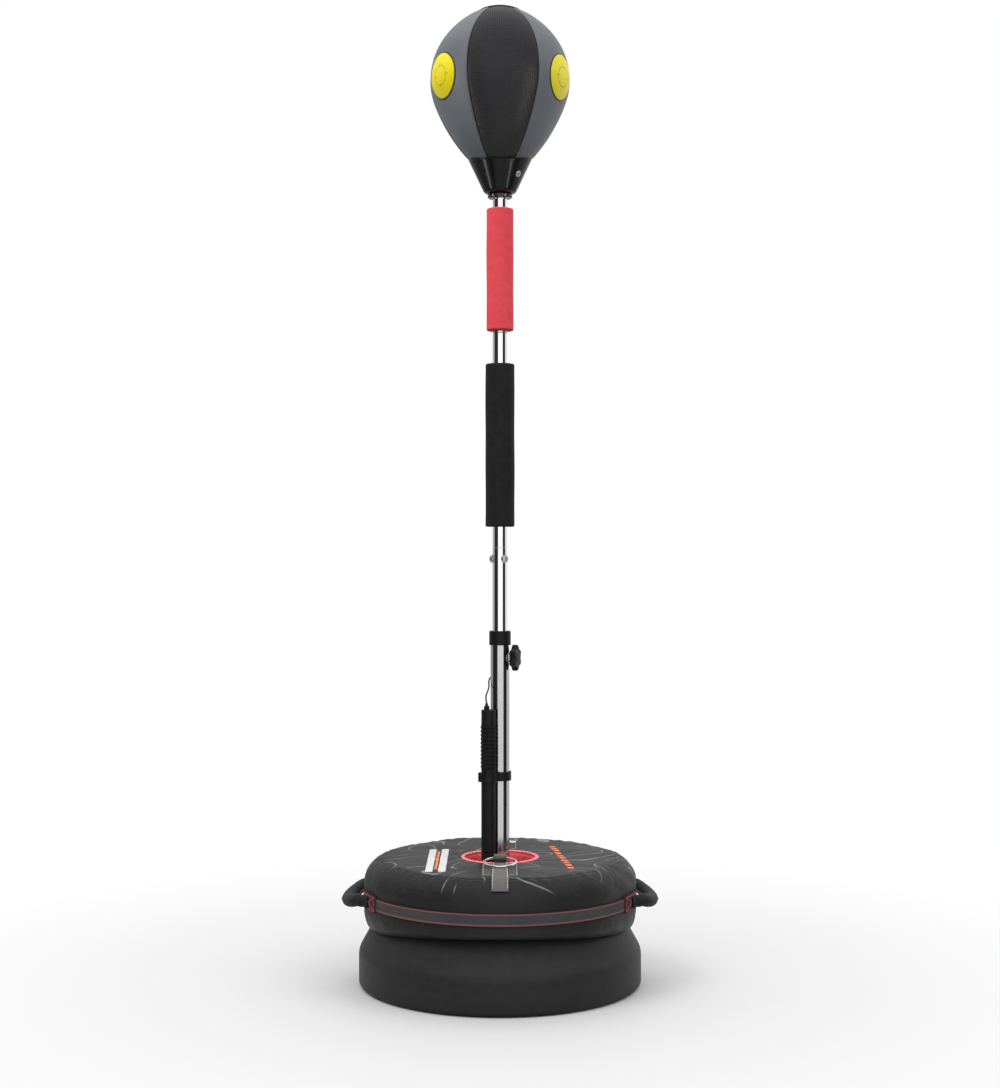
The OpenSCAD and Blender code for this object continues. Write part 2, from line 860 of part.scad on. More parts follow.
module target_discs() {
    color("#f5e400")
    intersection() {
        rotate_extrude() ball_skin(-0.7, -0.1, 1440, 60);
        for (i = [1 : 2 : panel_count - 1])
            rotate([0, 0, ball_turn + i * 360 / panel_count - 90])
                translate([0, 0, disc_z]) bar_x(disc_r, 40, 140);
    }
}

module air_valve() {
    valve_x = cup_low_r + (valve_z - cup_low_z) * tan(cup_slope);
    color("#e8e8e8")
    facing(valve_az) translate([valve_x, 0, valve_z]) rotate([0, 90 + cup_slope, 0])
        difference() {
            union() {
                translate([0, 0, -9]) cylinder(r = 3, h = 9.5);
                translate([0, 0, 0.25]) cylinder(r = 5.5, h = 1.5);
            }
            translate([0, 0, -6]) cylinder(r = 1.1, h = 12);
        }
}

// ---- pump ----

module pump_barrel() {
    color("#202021")
    at_pump() tube(pump_r, pump_r - 1.5, pump_bottom, pump_top - head_h);
}

module pump_head() {
    color("#1a1a1b")
    at_pump()
        difference() {
            translate([0, 0, pump_top - head_h + run_gap])
                rotate_extrude()
                    polygon(concat([[0, 0], [pump_r, 0]],
                                   arc(pump_r - 1.5, head_h - 1.5, 1.5, 0, 90), [[0, head_h]]));
            translate([0, 0, pump_top - head_h - 1]) cylinder(r = 3, h = 12);
            rotate([0, 0, 132]) translate([0, 0, pump_top - 9]) bar_x(2.6, -20, 20);
        }
}

module pump_grip() {
    ribs = 11;
    color("#121213")
    at_pump()
        rotate_extrude()
            polygon(concat(
                [[pump_r + 0.02, 362]],
                [for (i = [0 : ribs - 1]) each [[pump_r + 0.3, 362.5 + i * 6.6],
                                                [pump_r + 0.6, 363.5 + i * 6.6],
                                                [pump_r + 0.6, 366.5 + i * 6.6],
                                                [pump_r + 0.3, 367.5 + i * 6.6]]],
                [[pump_r + 0.02, 436]]
            ));
}

module pump_nozzle() {
    color("#141415")
    translate([hose_route[0][0], hose_route[0][1], pump_top + 0.1]) {
        cylinder(r = 4.6, h = 6.4);
        cylinder(r = 2.8, h = hose_route[0][2] - pump_top - 0.1 - run_gap);
    }
}

module pump_end_cap() {
    color("#1a1a1b")
    at_pump() {
        tube(pump_r - 1.5 - run_gap, 3.1, pump_bottom - 0.1, pump_bottom + end_cap_h);
        tube(pump_r, 3.1, pump_bottom - 3.1, pump_bottom - run_gap);
    }
}

module pump_rod() {
    color("#b9babc")
    at_pump() translate([0, 0, handle_z[0] + 20]) cylinder(r = 3, h = piston_z + 6 - handle_z[0] - 20);
}

module pump_piston() {
    r = pump_r - 1.5 - run_gap;
    color("#3c3c3e")
    at_pump()
        difference() {
            union() {
                translate([0, 0, piston_z]) cylinder(r = r, h = 3);
                translate([0, 0, piston_z]) cylinder(r = r - 2.2, h = 10);
                translate([0, 0, piston_z + 7]) cylinder(r = r, h = 3);
            }
            translate([0, 0, piston_z - 1]) cylinder(r = 3, h = 7);
        }
}

module pump_seal() {
    r = pump_r - 1.5 - run_gap;
    color("#111111")
    at_pump() tube(r, r - 2.15, piston_z + 3.1, piston_z + 6.9);
}

module pump_handle() {
    color("#1a1a1b")
    at_pump()
        difference() {
            translate([0, 0, handle_z[0]])
                rotate_extrude()
                    polygon(concat([[0, 0]], arc(pump_r - 2.5, 2.5, 2.5, -90, 0),
                                   [[pump_r - 0.5, 10], [pump_r - 0.5, 26], [pump_r, 30]],
                                   arc(pump_r - 1, 37, 1, 0, 90), [[0, 38]]));
            translate([0, 0, handle_z[0] + 20]) cylinder(r = 3, h = 30);
        }
}

// Two snap rings in one moulding, with a needle holder behind and a pull tab on the left
module pump_clip() {
    z0 = clip_z - clip_h / 2;
    color("#151516")
    difference() {
        union() {
            translate([0, 0, z0]) cylinder(r = lower_r + 3, h = clip_h);
            at_pump() translate([0, 0, z0]) cylinder(r = pump_r + 3, h = clip_h);
            facing(pump_az) translate([10, -7, z0]) cube([14, 14, clip_h]);
            translate([needle_xy[0], needle_xy[1], z0]) cylinder(r = 4.6, h = clip_h);
            at_pump() rotate([0, 0, 132]) translate([-pump_r - 5.2, -4, z0]) cube([6, 8, clip_h]);
        }
        translate([0, 0, z0 - 1]) cylinder(r = lower_r + run_gap, h = clip_h + 2);
        at_pump() translate([0, 0, z0 - 1]) cylinder(r = pump_r + run_gap, h = clip_h + 2);
        translate([needle_xy[0], needle_xy[1], z0 - 1]) cylinder(r = 1.3, h = clip_h + 2);
    }
}

// Direction of the route at point i, and a frame carried along it without twist
function unit(v) = v / norm(v);
function along(p, i) = unit(p[min(i + 1, len(p) - 1)] - p[max(i - 1, 0)]);
function carried(p, i) =
    let (t = along(p, i), n = i == 0 ? [0, 1, 0] : carried(p, i - 1))
    unit(n - (n * t) * t);

module pump_hose() {
    sides = 8;
    color("#2a2a2b")
    skin([
        for (k = [0 : len(hose_route) - 1])
            let (t = along(hose_route, k), n = carried(hose_route, k), b = cross(t, n))
            [for (i = [0 : sides - 1])
                let (a = -360 * i / sides)
                hose_route[k] + hose_r * (cos(a) * n + sin(a) * b)]
    ]);
}

module pump_needle() {
    color("#c4c5c7")
    translate([needle_xy[0], needle_xy[1], 0]) {
        translate([0, 0, 376]) cylinder(r = 3.2, h = 14 - run_gap);
        translate([0, 0, 326]) cylinder(r = 1.1, h = 51);
    }
}

base_shell();
ballast_fill();
base_pads();
filler_seal();
filler_cap();
pole_foot();
foot_bolts();
foot_inserts();
anchor_bolt();
anchor_nut();
sandbag();
well_lining();
bag_band();
handle_patches();
handle_left();
handle_right();
tab_patches();
ring_tab_front();
ring_tab_rear();
ring_front();
ring_rear();
lower_tube();
tube_collar();
lock_boss();
lock_tip();
lock_stud();
lock_knob();
mid_tube();
glide_bush();
upper_tube();
joint_screws();
foam_black();
spring_plug_lower();
spring_coil();
foam_red();
spring_plug_upper();
top_tube();
ball_ferrule();
ball_cup();
ball_hub();
hub_pin();
ball_bladder();
ball_panels_black();
ball_panels_grey();
ball_top_patch();
ball_top_nub();
target_discs();
air_valve();
pump_barrel();
pump_head();
pump_grip();
pump_nozzle();
pump_end_cap();
pump_rod();
pump_piston();
pump_seal();
pump_handle();
pump_clip();
pump_hose();
pump_needle();
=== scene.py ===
import json  # noqa: E402
import math  # noqa: E402

import bmesh  # noqa: E402
import bpy  # noqa: E402
import numpy as np  # noqa: E402
from bpy.props import FloatProperty, FloatVectorProperty, IntProperty, PointerProperty  # noqa: E402
from bpy.types import Operator, Panel, PropertyGroup  # noqa: E402
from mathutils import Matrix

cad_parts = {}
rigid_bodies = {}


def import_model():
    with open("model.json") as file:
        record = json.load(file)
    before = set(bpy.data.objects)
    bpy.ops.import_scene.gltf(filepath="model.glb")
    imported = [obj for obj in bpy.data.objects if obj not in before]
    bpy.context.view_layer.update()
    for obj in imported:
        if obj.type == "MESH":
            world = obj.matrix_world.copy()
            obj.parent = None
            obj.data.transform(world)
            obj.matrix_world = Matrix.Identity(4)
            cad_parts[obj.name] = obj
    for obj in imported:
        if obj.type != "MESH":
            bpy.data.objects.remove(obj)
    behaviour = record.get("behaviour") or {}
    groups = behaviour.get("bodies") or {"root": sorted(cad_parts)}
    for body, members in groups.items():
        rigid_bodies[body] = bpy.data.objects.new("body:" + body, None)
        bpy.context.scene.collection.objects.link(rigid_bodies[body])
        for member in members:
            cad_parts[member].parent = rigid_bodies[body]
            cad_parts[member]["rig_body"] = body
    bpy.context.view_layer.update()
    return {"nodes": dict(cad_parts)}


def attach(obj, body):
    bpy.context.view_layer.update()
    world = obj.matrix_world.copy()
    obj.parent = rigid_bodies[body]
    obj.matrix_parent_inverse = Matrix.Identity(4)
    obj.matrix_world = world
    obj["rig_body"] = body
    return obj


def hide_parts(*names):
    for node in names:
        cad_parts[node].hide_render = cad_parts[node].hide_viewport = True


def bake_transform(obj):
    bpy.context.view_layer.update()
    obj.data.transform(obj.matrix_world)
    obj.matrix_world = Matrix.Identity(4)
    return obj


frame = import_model()

bl_info = {
    "name": "Speed bag platform",
    "version": (1, 0, 0),
    "blender": (4, 5, 0),
    "location": "View3D > Sidebar > Speed bag",
    "description": "Builds a free-standing reflex bag: ball, sprung pole, pump, ring sandbag and drum",
    "category": "Add Mesh",
}

MM = 0.001  # shapes are worked out in millimetres and put into metres at the end
PI = math.pi


# ---------------------------------------------------------------------------------------------
# Lines and grids
# ---------------------------------------------------------------------------------------------


def tone(red, green, blue):
    """A display colour from 0 to 255 as linear light: (c / 12.92) when dark, else a 2.4 power."""
    c = np.array([red, green, blue]) / 255
    return tuple(float(v) for v in np.where(c <= 0.04045, c / 12.92, ((c + 0.055) / 1.055) ** 2.4))


def unit(vectors):
    """Vectors of length one in the same directions."""
    vectors = np.asarray(vectors, float)
    return vectors / np.linalg.norm(vectors, axis=-1, keepdims=True)


def around(count):
    """Evenly spread angles of a full circle, without the last one that repeats the first."""
    return np.arange(count) * (2 * PI / count)


def bell(x, width):
    """A bump of height one at zero: e to the minus (x / width) squared."""
    return np.exp(-((x / width) ** 2))


def ease(x):
    """From 0 to 1 with flat ends: 3 x squared minus 2 x cubed."""
    x = np.clip(x, 0, 1)
    return x * x * (3 - 2 * x)


def runs(line):
    """Distance along a line of points, from its start."""
    return np.concatenate([[0], np.cumsum(np.linalg.norm(np.diff(line, axis=0), axis=1))])


def filled(line, step):
    """Adds points to a line so that none are further apart than step."""
    line = np.asarray(line, float)
    run = runs(line)
    marks = np.union1d(run, np.arange(0, run[-1], step))
    marks = marks[np.concatenate([[True], np.diff(marks) > step * 0.04])]
    return np.stack([np.interp(marks, run, line[:, k]) for k in range(line.shape[1])], -1)


def eased(corners, radius, steps=5, closed=True):
    """Rounds the corners of a line. Each corner gives way to a parabola that starts and ends radius away, with
    one more point beyond each end that keeps the flat beside it flat."""
    here = np.asarray(corners, float)
    reach = np.broadcast_to(np.asarray(radius, float), len(here))[:, None]

    def towards(other, more):
        way = other - here
        length = np.maximum(np.linalg.norm(way, axis=1, keepdims=True), 1e-9)
        return here + way / length * np.minimum(reach * more, (0.4 + 0.06 * more) * length)

    before, after = np.roll(here, 1, 0), np.roll(here, -1, 0)
    a, b = towards(before, 1.0), towards(after, 1.0)
    t = np.linspace(0, 1, steps)[None, :, None]
    curve = (1 - t) ** 2 * a[:, None] + 2 * t * (1 - t) * here[:, None] + t**2 * b[:, None]
    curve = np.concatenate([towards(before, 1.4)[:, None], curve, towards(after, 1.4)[:, None]], 1)
    if closed:
        line = curve.reshape(-1, here.shape[1])
    else:
        line = np.concatenate([here[:1], curve[1:-1].reshape(-1, here.shape[1]), here[-1:]])
    keep = np.concatenate([[True], np.linalg.norm(np.diff(line, axis=0), axis=1) > 1e-4])
    return line[keep]


def smoothed(points, per=8):
    """A Catmull-Rom curve through the points: a cubic between each two, with slopes from their neighbours."""
    p = np.asarray(points, float)
    p = np.concatenate([[2 * p[0] - p[1]], p, [2 * p[-1] - p[-2]]])
    a, b, c, d = p[:-3, None], p[1:-2, None], p[2:-1, None], p[3:, None]
    t = np.linspace(0, 1, per, endpoint=False)[None, :, None]
    curve = 0.5 * (2 * b + (c - a) * t + (2 * a - 5 * b + 4 * c - d) * t**2 + (3 * b - a - 3 * c + d) * t**3)
    return np.concatenate([curve.reshape(-1, p.shape[1]), p[-2:-1]])


def turned(profile, count=96, centre=(0, 0), angles=None):
    """Turns a profile of (radius, height) about an upright axis: x = r cos a, y = r sin a, z = height."""
    profile = np.asarray(profile, float)
    a = around(count) if angles is None else angles
    r, z = profile[:, :1], profile[:, 1:2]
    return np.stack([centre[0] + r * np.cos(a), centre[1] + r * np.sin(a), z + 0 * a], -1)


def carried(grid, origin, direction, up=(0, 0, 1)):
    """Moves a shape made about the z axis so that its axis points along direction from origin."""
    n = unit(direction)
    x = unit(np.cross(up, n))
    return grid @ np.stack([x, np.cross(n, x), n]) + np.asarray(origin, float)


def swept(path, section, up=(0, 0, 1)):
    """Carries a closed section along a path: side = up x direction, top = direction x side, and each point is
    path + side * a + top * b. The section is (points, 2) or (path points, points, 2)."""
    along = unit(np.gradient(path, axis=0))
    side = unit(np.cross(np.broadcast_to(up, along.shape), along))
    top = np.cross(along, side)
    section = np.broadcast_to(section, (len(path), *np.shape(section)[-2:]))
    return path[:, None] + section[..., :1] * side[:, None] + section[..., 1:] * top[:, None]


def oval(width, height, count=24, power=1.0):
    """A closed oval: half width cos a, half height sin a, squarer for a power below one."""
    a = around(count)
    c, s = np.cos(a), np.sin(a)
    return np.stack(
        [width / 2 * np.sign(c) * np.abs(c) ** power, height / 2 * np.sign(s) * np.abs(s) ** power], -1
    )


def ring_box(outer, inner, low, high):
    """Corners of a ring's section, counter-clockwise, so that its faces point outwards."""
    return [(outer, low), (outer, high), (inner, high), (inner, low)]


# A small grain of thread: a ball of three rings of six points with two poles.
_lat, _lon = np.meshgrid(np.radians([-45, 0, 45]), around(6), indexing="ij")
GRAIN = np.stack([np.cos(_lat) * np.cos(_lon), np.cos(_lat) * np.sin(_lon), np.sin(_lat)], -1).reshape(-1, 3)
GRAIN = np.concatenate([GRAIN, [[0, 0, -1], [0, 0, 1]]])
_i = np.arange(12)
_j = _i // 6 * 6 + (_i + 1) % 6
GRAIN_QUADS = np.stack([_i, _j, _j + 6, _i + 6], -1)
GRAIN_FANS = np.concatenate(
    [np.stack([_i[:6] * 0 + 18, _j[:6], _i[:6]], -1), np.stack([_i[:6] * 0 + 19, _i[6:] + 6, _j[6:] + 6], -1)]
)


class Form:
    """Gathers grids of points, in millimetres, into one mesh of quads with a UV map in metres."""

    def __init__(self):
        self.points, self.faces, self.maps, self.kinds, self.marks = [], [], [], [], []
        self.total = 0

    def _add(self, faces, maps, finish):
        self.faces.append(faces)
        self.maps.append(maps.reshape(-1, 2))
        self.kinds.append(np.full(len(faces), finish))

    def surface(self, grid, wrap=False, ring=False, first=False, last=False, uv=None, finish=0, mark=None):
        """Adds a (rows, columns, 3) grid. wrap joins its last column to the first and ring its last row to the
        first. first and last close an open end with a fan to its middle. The UV map is the mean distance along
        columns and along rows."""
        rows, columns = grid.shape[:2]
        ids = self.total + np.arange(rows * columns).reshape(rows, columns)
        whole = grid
        if wrap:
            ids, whole = np.concatenate([ids, ids[:, :1]], 1), np.concatenate([whole, whole[:, :1]], 1)
        if ring:
            ids, whole = np.concatenate([ids, ids[:1]], 0), np.concatenate([whole, whole[:1]], 0)
        if uv is None:
            across = np.linalg.norm(np.diff(whole, axis=1), axis=2).max(0)
            along = np.linalg.norm(np.diff(whole, axis=0), axis=2).mean(1)
            u, v = np.meshgrid(np.append(0, np.cumsum(across)), np.append(0, np.cumsum(along)))
            uv = np.stack([u, v], -1)
        self.points.append(grid.reshape(-1, 3))
        marks = np.zeros(rows * columns) if mark is None else np.broadcast_to(mark, grid.shape[:2]).ravel()
        self.marks.append(marks)
        self.total += rows * columns

        def corners(a):
            return np.stack([a[:-1, :-1], a[:-1, 1:], a[1:, 1:], a[1:, :-1]], 2)

        self._add(corners(ids).reshape(-1, 4), corners(uv), finish)
        for wanted, row, turn in ((first, 0, -1), (last, -1, 1)):
            if wanted:
                self.points.append(grid[row].mean(0)[None])
                self.marks.append(self.marks[-1][:1] if mark is None else np.atleast_1d(np.ravel(mark)[-1:]))
                hub = np.full(ids.shape[1] - 1, self.total)
                self.total += 1
                pair = [ids[row, :-1], ids[row, 1:]][::turn]
                edge = [uv[row, :-1], uv[row, 1:]][::turn]
                middle = np.broadcast_to(uv[row].mean(0), edge[0].shape)
                self._add(np.stack([hub, *pair], -1), np.stack([middle, *edge], 1), finish)
        return self

    def grains(self, centres, along, out, size, finish=0):
        """Adds a rounded grain of thread at each centre, with half sizes along, across and out."""
        centres = np.asarray(centres, float)
        along, out = unit(np.broadcast_to(along, centres.shape)), unit(np.broadcast_to(out, centres.shape))
        axes = np.stack([along, np.cross(out, along), out], 1) * np.asarray(size, float)[None, :, None]
        points = centres[:, None] + np.einsum("pk,nkc->npc", GRAIN, axes)
        start = self.total + np.arange(len(centres))[:, None, None] * len(GRAIN)
        self.points.append(points.reshape(-1, 3))
        self.marks.append(np.zeros(len(centres) * len(GRAIN)))
        self.total += len(centres) * len(GRAIN)
        for faces in (GRAIN_QUADS, GRAIN_FANS):
            many = (start + faces[None]).reshape(-1, faces.shape[1])
            self._add(many, np.zeros((*many.shape, 2)), finish)
        return self

    def make(self, name, finishes, body, slot=None, replaces=(), crease=40, wall=0.0):
        """Puts the grids into an object at the origin. body is a CAD body's name, or a tuple (body, body,
        start, end) whose entries are not used: such a piece is tied to no body."""
        mesh = bpy.data.meshes.new(name)
        faces = [face for group in self.faces for face in group.tolist()]
        mesh.from_pydata(np.concatenate(self.points) * MM, [], faces)
        layer = mesh.uv_layers.new(name="cut")
        layer.data.foreach_set("uv", (np.concatenate(self.maps) * MM).astype(np.float32).ravel())
        mesh.polygons.foreach_set("material_index", np.concatenate(self.kinds).astype(np.int32))
        marks = mesh.attributes.new("mark", "FLOAT", "POINT")
        marks.data.foreach_set("value", np.concatenate(self.marks).astype(np.float32))
        mesh.update()
        mesh.validate()
        return placed(mesh, name, finishes, body, replaces, crease, wall)


def placed(mesh, name, finishes, body, replaces=(), crease=40, wall=0.0, bevel=0.0):
    """Links a mesh as a piece: finishes, smooth faces, modifiers, CAD body and the CAD nodes it stands for."""
    mesh.shade_smooth()
    mesh.set_sharp_from_angle(angle=math.radians(crease))
    for finish in [finishes] if isinstance(finishes, str) else finishes:
        mesh.materials.append(finish_named(finish))
    piece = bpy.data.objects.new(name, mesh)
    bpy.context.scene.collection.objects.link(piece)
    if wall:
        shell = piece.modifiers.new("Wall", "SOLIDIFY")
        shell.thickness, shell.offset, shell.use_even_offset = wall * MM, -1, True
    if bevel:
        edge = piece.modifiers.new("Edge", "BEVEL")
        edge.width, edge.segments, edge.limit_method = bevel * MM, 2, "ANGLE"
        edge.angle_limit, edge.use_clamp_overlap = math.radians(38), True
    if isinstance(body, tuple):
        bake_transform(piece)
    else:
        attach(piece, body)
    replaces = (replaces,) if isinstance(replaces, str) else replaces
    if replaces:
        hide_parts(*replaces)
    return piece


def softened(node, finish, width=0.4, crease=38):
    """Stands for a CAD node with a copy of it: doubles merged, flat faces joined, and its edges bevelled."""
    copy = bmesh.new()
    copy.from_mesh(frame["nodes"][node].data)
    bmesh.ops.remove_doubles(copy, verts=copy.verts, dist=1e-6)
    bmesh.ops.dissolve_limit(copy, angle_limit=math.radians(0.6), verts=copy.verts, edges=copy.edges)
    mesh = bpy.data.meshes.new(node + "_eased")
    copy.to_mesh(mesh)
    copy.free()
    mesh.materials.clear()
    body = frame["nodes"][node]["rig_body"]
    return placed(mesh, node + "_eased", finish, body, node, crease, bevel=width)


# ---------------------------------------------------------------------------------------------
# Finishes
# ---------------------------------------------------------------------------------------------


class Field:
    """A node socket that takes part in sums. Each operator adds one Math node."""

    def __init__(self, finish, socket):
        self.finish, self.socket = finish, socket

    def work(self, operation, *values):
        return self.finish.node("ShaderNodeMath", {"operation": operation}, dict(enumerate(values)))

    def __add__(self, other):
        return self.work("ADD", self, other)

    __radd__ = __add__

    def __sub__(self, other):
        return self.work("SUBTRACT", self, other)

    def __rsub__(self, other):
        return self.work("SUBTRACT", other, self)

    def __mul__(self, other):
        return self.work("MULTIPLY", self, other)

    __rmul__ = __mul__

    def __truediv__(self, other):
        return self.work("DIVIDE", self, other)

    def __pow__(self, other):
        return self.work("POWER", self, other)

    def __abs__(self):
        return self.work("ABSOLUTE", self)

    def sine(self):
        return self.work("SINE", self)

    def part(self):
        """What is left after the whole number."""
        return self.work("FRACT", self)

    def most(self, other):
        return self.work("MAXIMUM", self, other)

    def least(self, other):
        return self.work("MINIMUM", self, other)

    def over(self, edge):
        """1 where the value is above the edge, else 0."""
        return self.work("GREATER_THAN", self, edge)

    def rise(self, low, high):
        """0 below low, 1 above high, and a smooth step between them. low may be above high."""
        settings = {"interpolation_type": "SMOOTHSTEP", "clamp": True}
        return self.finish.node(
            "ShaderNodeMapRange", settings, {"Value": self, "From Min": float(low), "From Max": float(high)}
        )


class Finish:
    """A material round one Principled shader. steady gives the inputs that are the same all over."""

    def __init__(self, name, steady=None):
        self.material = bpy.data.materials.new(name)
        self.material.use_nodes = True
        self.tree = self.material.node_tree
        self.tree.nodes.clear()
        self.shader = self.tree.nodes.new("ShaderNodeBsdfPrincipled")
        sheet = self.tree.nodes.new("ShaderNodeOutputMaterial")
        self.tree.links.new(self.shader.outputs[0], sheet.inputs[0])
        for key, value in (steady or {}).items():
            self.shader.inputs[key].default_value = value

    def node(self, kind, settings=None, inputs=None, output=0):
        """Adds a node: its settings first, then the values or links of its sockets. Gives one output."""
        node = self.tree.nodes.new(kind)
        for key, value in (settings or {}).items():
            if key == "stops":
                while len(node.color_ramp.elements) < len(value):
                    node.color_ramp.elements.new(0.5)
                for element, (at, colour) in zip(node.color_ramp.elements, value):
                    element.position, element.color = at, (*colour[:3], 1)
            else:
                setattr(node, key, value)
        for key, value in (inputs or {}).items():
            if isinstance(value, Field):
                self.tree.links.new(value.socket, node.inputs[key])
            else:
                node.inputs[key].default_value = value
        return Field(self, node.outputs[output])

    def place(self):
        """Object coordinates, in metres."""
        return self.node("ShaderNodeTexCoord", output="Object")

    def cut(self):
        """The piece's own UV map, in metres along its surface."""
        return self.node("ShaderNodeUVMap", {"uv_map": "cut"}, output="UV")

    def mark(self):
        """The number that the piece's mesh carries at each point."""
        return self.node("ShaderNodeAttribute", {"attribute_name": "mark"}, output="Fac")

    def axes(self, vector):
        x = self.node("ShaderNodeSeparateXYZ", inputs={"Vector": vector})
        return [Field(self, socket) for socket in x.socket.node.outputs]

    def stretched(self, vector, x, y, z):
        """A vector times (x, y, z)."""
        return self.node("ShaderNodeVectorMath", {"operation": "MULTIPLY"}, {0: vector, 1: (x, y, z)})

    def noise(self, vector, scale, detail=2.0, rough=0.5):
        return self.node(
            "ShaderNodeTexNoise", {}, {"Vector": vector, "Scale": scale, "Detail": detail, "Roughness": rough}
        )

    def cells(self, vector, scale, feature="F1"):
        return self.node("ShaderNodeTexVoronoi", {"feature": feature}, {"Vector": vector, "Scale": scale})

    def blend(self, amount, one, other):
        """The colour one where amount is 0 and other where it is 1."""
        one, other = ((*c[:3], 1) if not isinstance(c, Field) else c for c in (one, other))
        return self.node("ShaderNodeMix", {"data_type": "RGBA"}, {0: amount, 6: one, 7: other}, 2)

    def weave(self, u, v, pitch):
        """Height from 0 to 1 of a plain weave: half of (1 + sin u sin v) at the thread's pitch."""
        k = 2 * PI / pitch
        return 0.5 + 0.5 * ((u * k).sine() * (v * k).sine())

    def paint(self, colour, roughness, height=None):
        """Links what varies. A height is in metres and goes through a Bump node to Normal."""
        if height is not None:
            normal = self.node("ShaderNodeBump", {}, {"Strength": 1.0, "Distance": 1.0, "Height": height})
            self.tree.links.new(normal.socket, self.shader.inputs["Normal"])
        for key, value in (("Base Color", colour), ("Roughness", roughness)):
            if isinstance(value, Field):
                self.tree.links.new(value.socket, self.shader.inputs[key])
            elif value is not None:
                self.shader.inputs[key].default_value = (*value[:3], 1) if key == "Base Color" else value
        return self


def moulded(name, colour, rough=0.5, grain=0.00006, pitch=0.0012, steady=None, worn=0.0):
    """Moulded plastic or rubber: fine grain, slow waves in the wall, cloudy gloss and a little dust."""
    f = Finish(name, {"Specular IOR Level": 0.2, **(steady or {})})
    here = f.place()
    fine = f.noise(here, 1 / pitch, 3.0, 0.6)
    slow = f.noise(here, 14.0, 2.0)
    cloud = f.noise(here, 55.0, 4.0, 0.6)
    light = tuple(min(1.0, c * 1.22 + 0.004) for c in colour)
    shade = f.blend(cloud.rise(0.35, 0.75) * 0.6 + slow * 0.25, colour, light)
    if worn:
        rub = f.noise(f.stretched(here, 1, 1, 5), 180.0, 5.0, 0.7).rise(0.66, 0.78)
        shade = f.blend(rub * worn, shade, tuple(c * 2.4 + 0.02 for c in colour))
    f.paint(shade, cloud * 0.16 + (rough - 0.08), fine * grain + slow * 0.0005)
    return f


def metal(name, colour, rough, brush=0.0, along=(1, 1, 0.02), dull=0.0):
    """Metal with brush marks drawn out along the piece, a few fine scratches and faint haze."""
    f = Finish(name, {"Metallic": 1.0})
    here = f.place()
    lines = f.noise(f.stretched(here, *along), 2600.0, 2.0)
    haze = f.noise(here, 40.0, 4.0, 0.6)
    scratch = f.noise(f.stretched(here, 1.0, 1.0, 0.25), 520.0, 6.0, 0.75).rise(0.68, 0.8)
    dim = tuple(c * (0.8 - dull) for c in colour)
    f.paint(
        f.blend(haze.rise(0.4, 0.8) * 0.3, colour, dim),
        haze * 0.5 * rough + rough * 0.7 + scratch * 0.03 + lines * brush,
        lines * brush * 0.000012,
    )
    return f


def foam(name, colour):
    """Closed-cell foam: small pits, soft mottling and a slightly paler bloom."""
    f = Finish(name, {"Specular IOR Level": 0.12})
    here = f.place()
    pits = f.cells(here, 900.0).rise(0.1, 0.5)
    mottle = f.noise(here, 70.0, 5.0, 0.65)
    pale = tuple(min(1.0, c * 1.12 + 0.01) for c in colour)
    deep = tuple(c * 0.86 for c in colour)
    f.paint(
        f.blend(mottle.rise(0.3, 0.7) * 0.5 + 0.25, deep, pale),
        mottle * 0.12 + 0.62,
        pits * 0.00012 + mottle * 0.00015,
    )
    return f


def woven(name, colour, pitch=0.0009, rough=0.78, light=1.5):
    """Cloth: a plain weave on the UV map with slubs, over slow fading."""
    f = Finish(name, {"Specular IOR Level": 0.15, "Sheen Weight": 0.06, "Sheen Roughness": 0.5})
    u, v, _ = f.axes(f.cut())
    threads = f.weave(u, v, pitch)
    fade = f.noise(f.place(), 16.0, 4.0, 0.6)
    slub = f.noise(f.stretched(f.cut(), 1, 0.08, 1), 900.0, 2.0)
    pale = tuple(min(1.0, c * light + 0.004) for c in colour)
    mixed = threads * 0.4 + fade * 0.35 + slub * 0.25
    cloth = f.blend(mixed.rise(0.25, 0.8), colour, pale)
    f.paint(cloth, threads * 0.1 + rough, threads * 0.00012 + slub * 0.0001)
    return f


def drum_plastic(look):
    return moulded("Drum plastic", look.drum, 0.5, 0.00012, 0.0016, worn=0.12)


def chrome(look):
    return metal("Chrome", (0.93, 0.93, 0.94), 0.05, 0.012)


def zinc(look):
    return metal("Lower tube steel", (0.58, 0.58, 0.59), 0.13, 0.03, dull=0.03)


def rod_steel(look):
    return metal("Drawn rod", (0.6, 0.6, 0.62), 0.22, 0.08)


def bolt_zinc(look):
    return metal("Zinc fasteners", (0.58, 0.58, 0.6), 0.32, 0.05, (1, 1, 1))


def cast_steel(look):
    f = metal("Painted foot", (0.035, 0.035, 0.037), 0.42, 0.05, (1, 1, 1))
    f.shader.inputs["Metallic"].default_value = 0.0
    return f


def spring_steel(look):
    return metal("Spring wire", (0.24, 0.23, 0.22), 0.3, 0.05, (1, 1, 1))


def brass(look):
    return metal("Brass", (0.75, 0.55, 0.24), 0.28, 0.05, (1, 1, 1))


def needle_steel(look):
    return metal("Needle steel", (0.7, 0.7, 0.7), 0.16, 0.03)


def wood(look):
    """Turned hardwood: rings drawn out along the axis."""
    f = Finish("Turned wood")
    rings = f.noise(f.stretched(f.place(), 1, 1, 0.08), 260.0, 4.0, 0.6)
    f.paint(f.blend(rings, (0.32, 0.17, 0.07), (0.5, 0.3, 0.14)), rings * 0.2 + 0.45, rings * 0.0001)
    return f


def sand(look):
    f = Finish("Loose sand")
    grain = f.cells(f.place(), 1400.0)
    heap = f.noise(f.place(), 25.0, 4.0)
    f.paint(f.blend(grain, (0.55, 0.42, 0.26), (0.3, 0.21, 0.12)), 0.9, grain * 0.0003 + heap * 0.004)
    return f


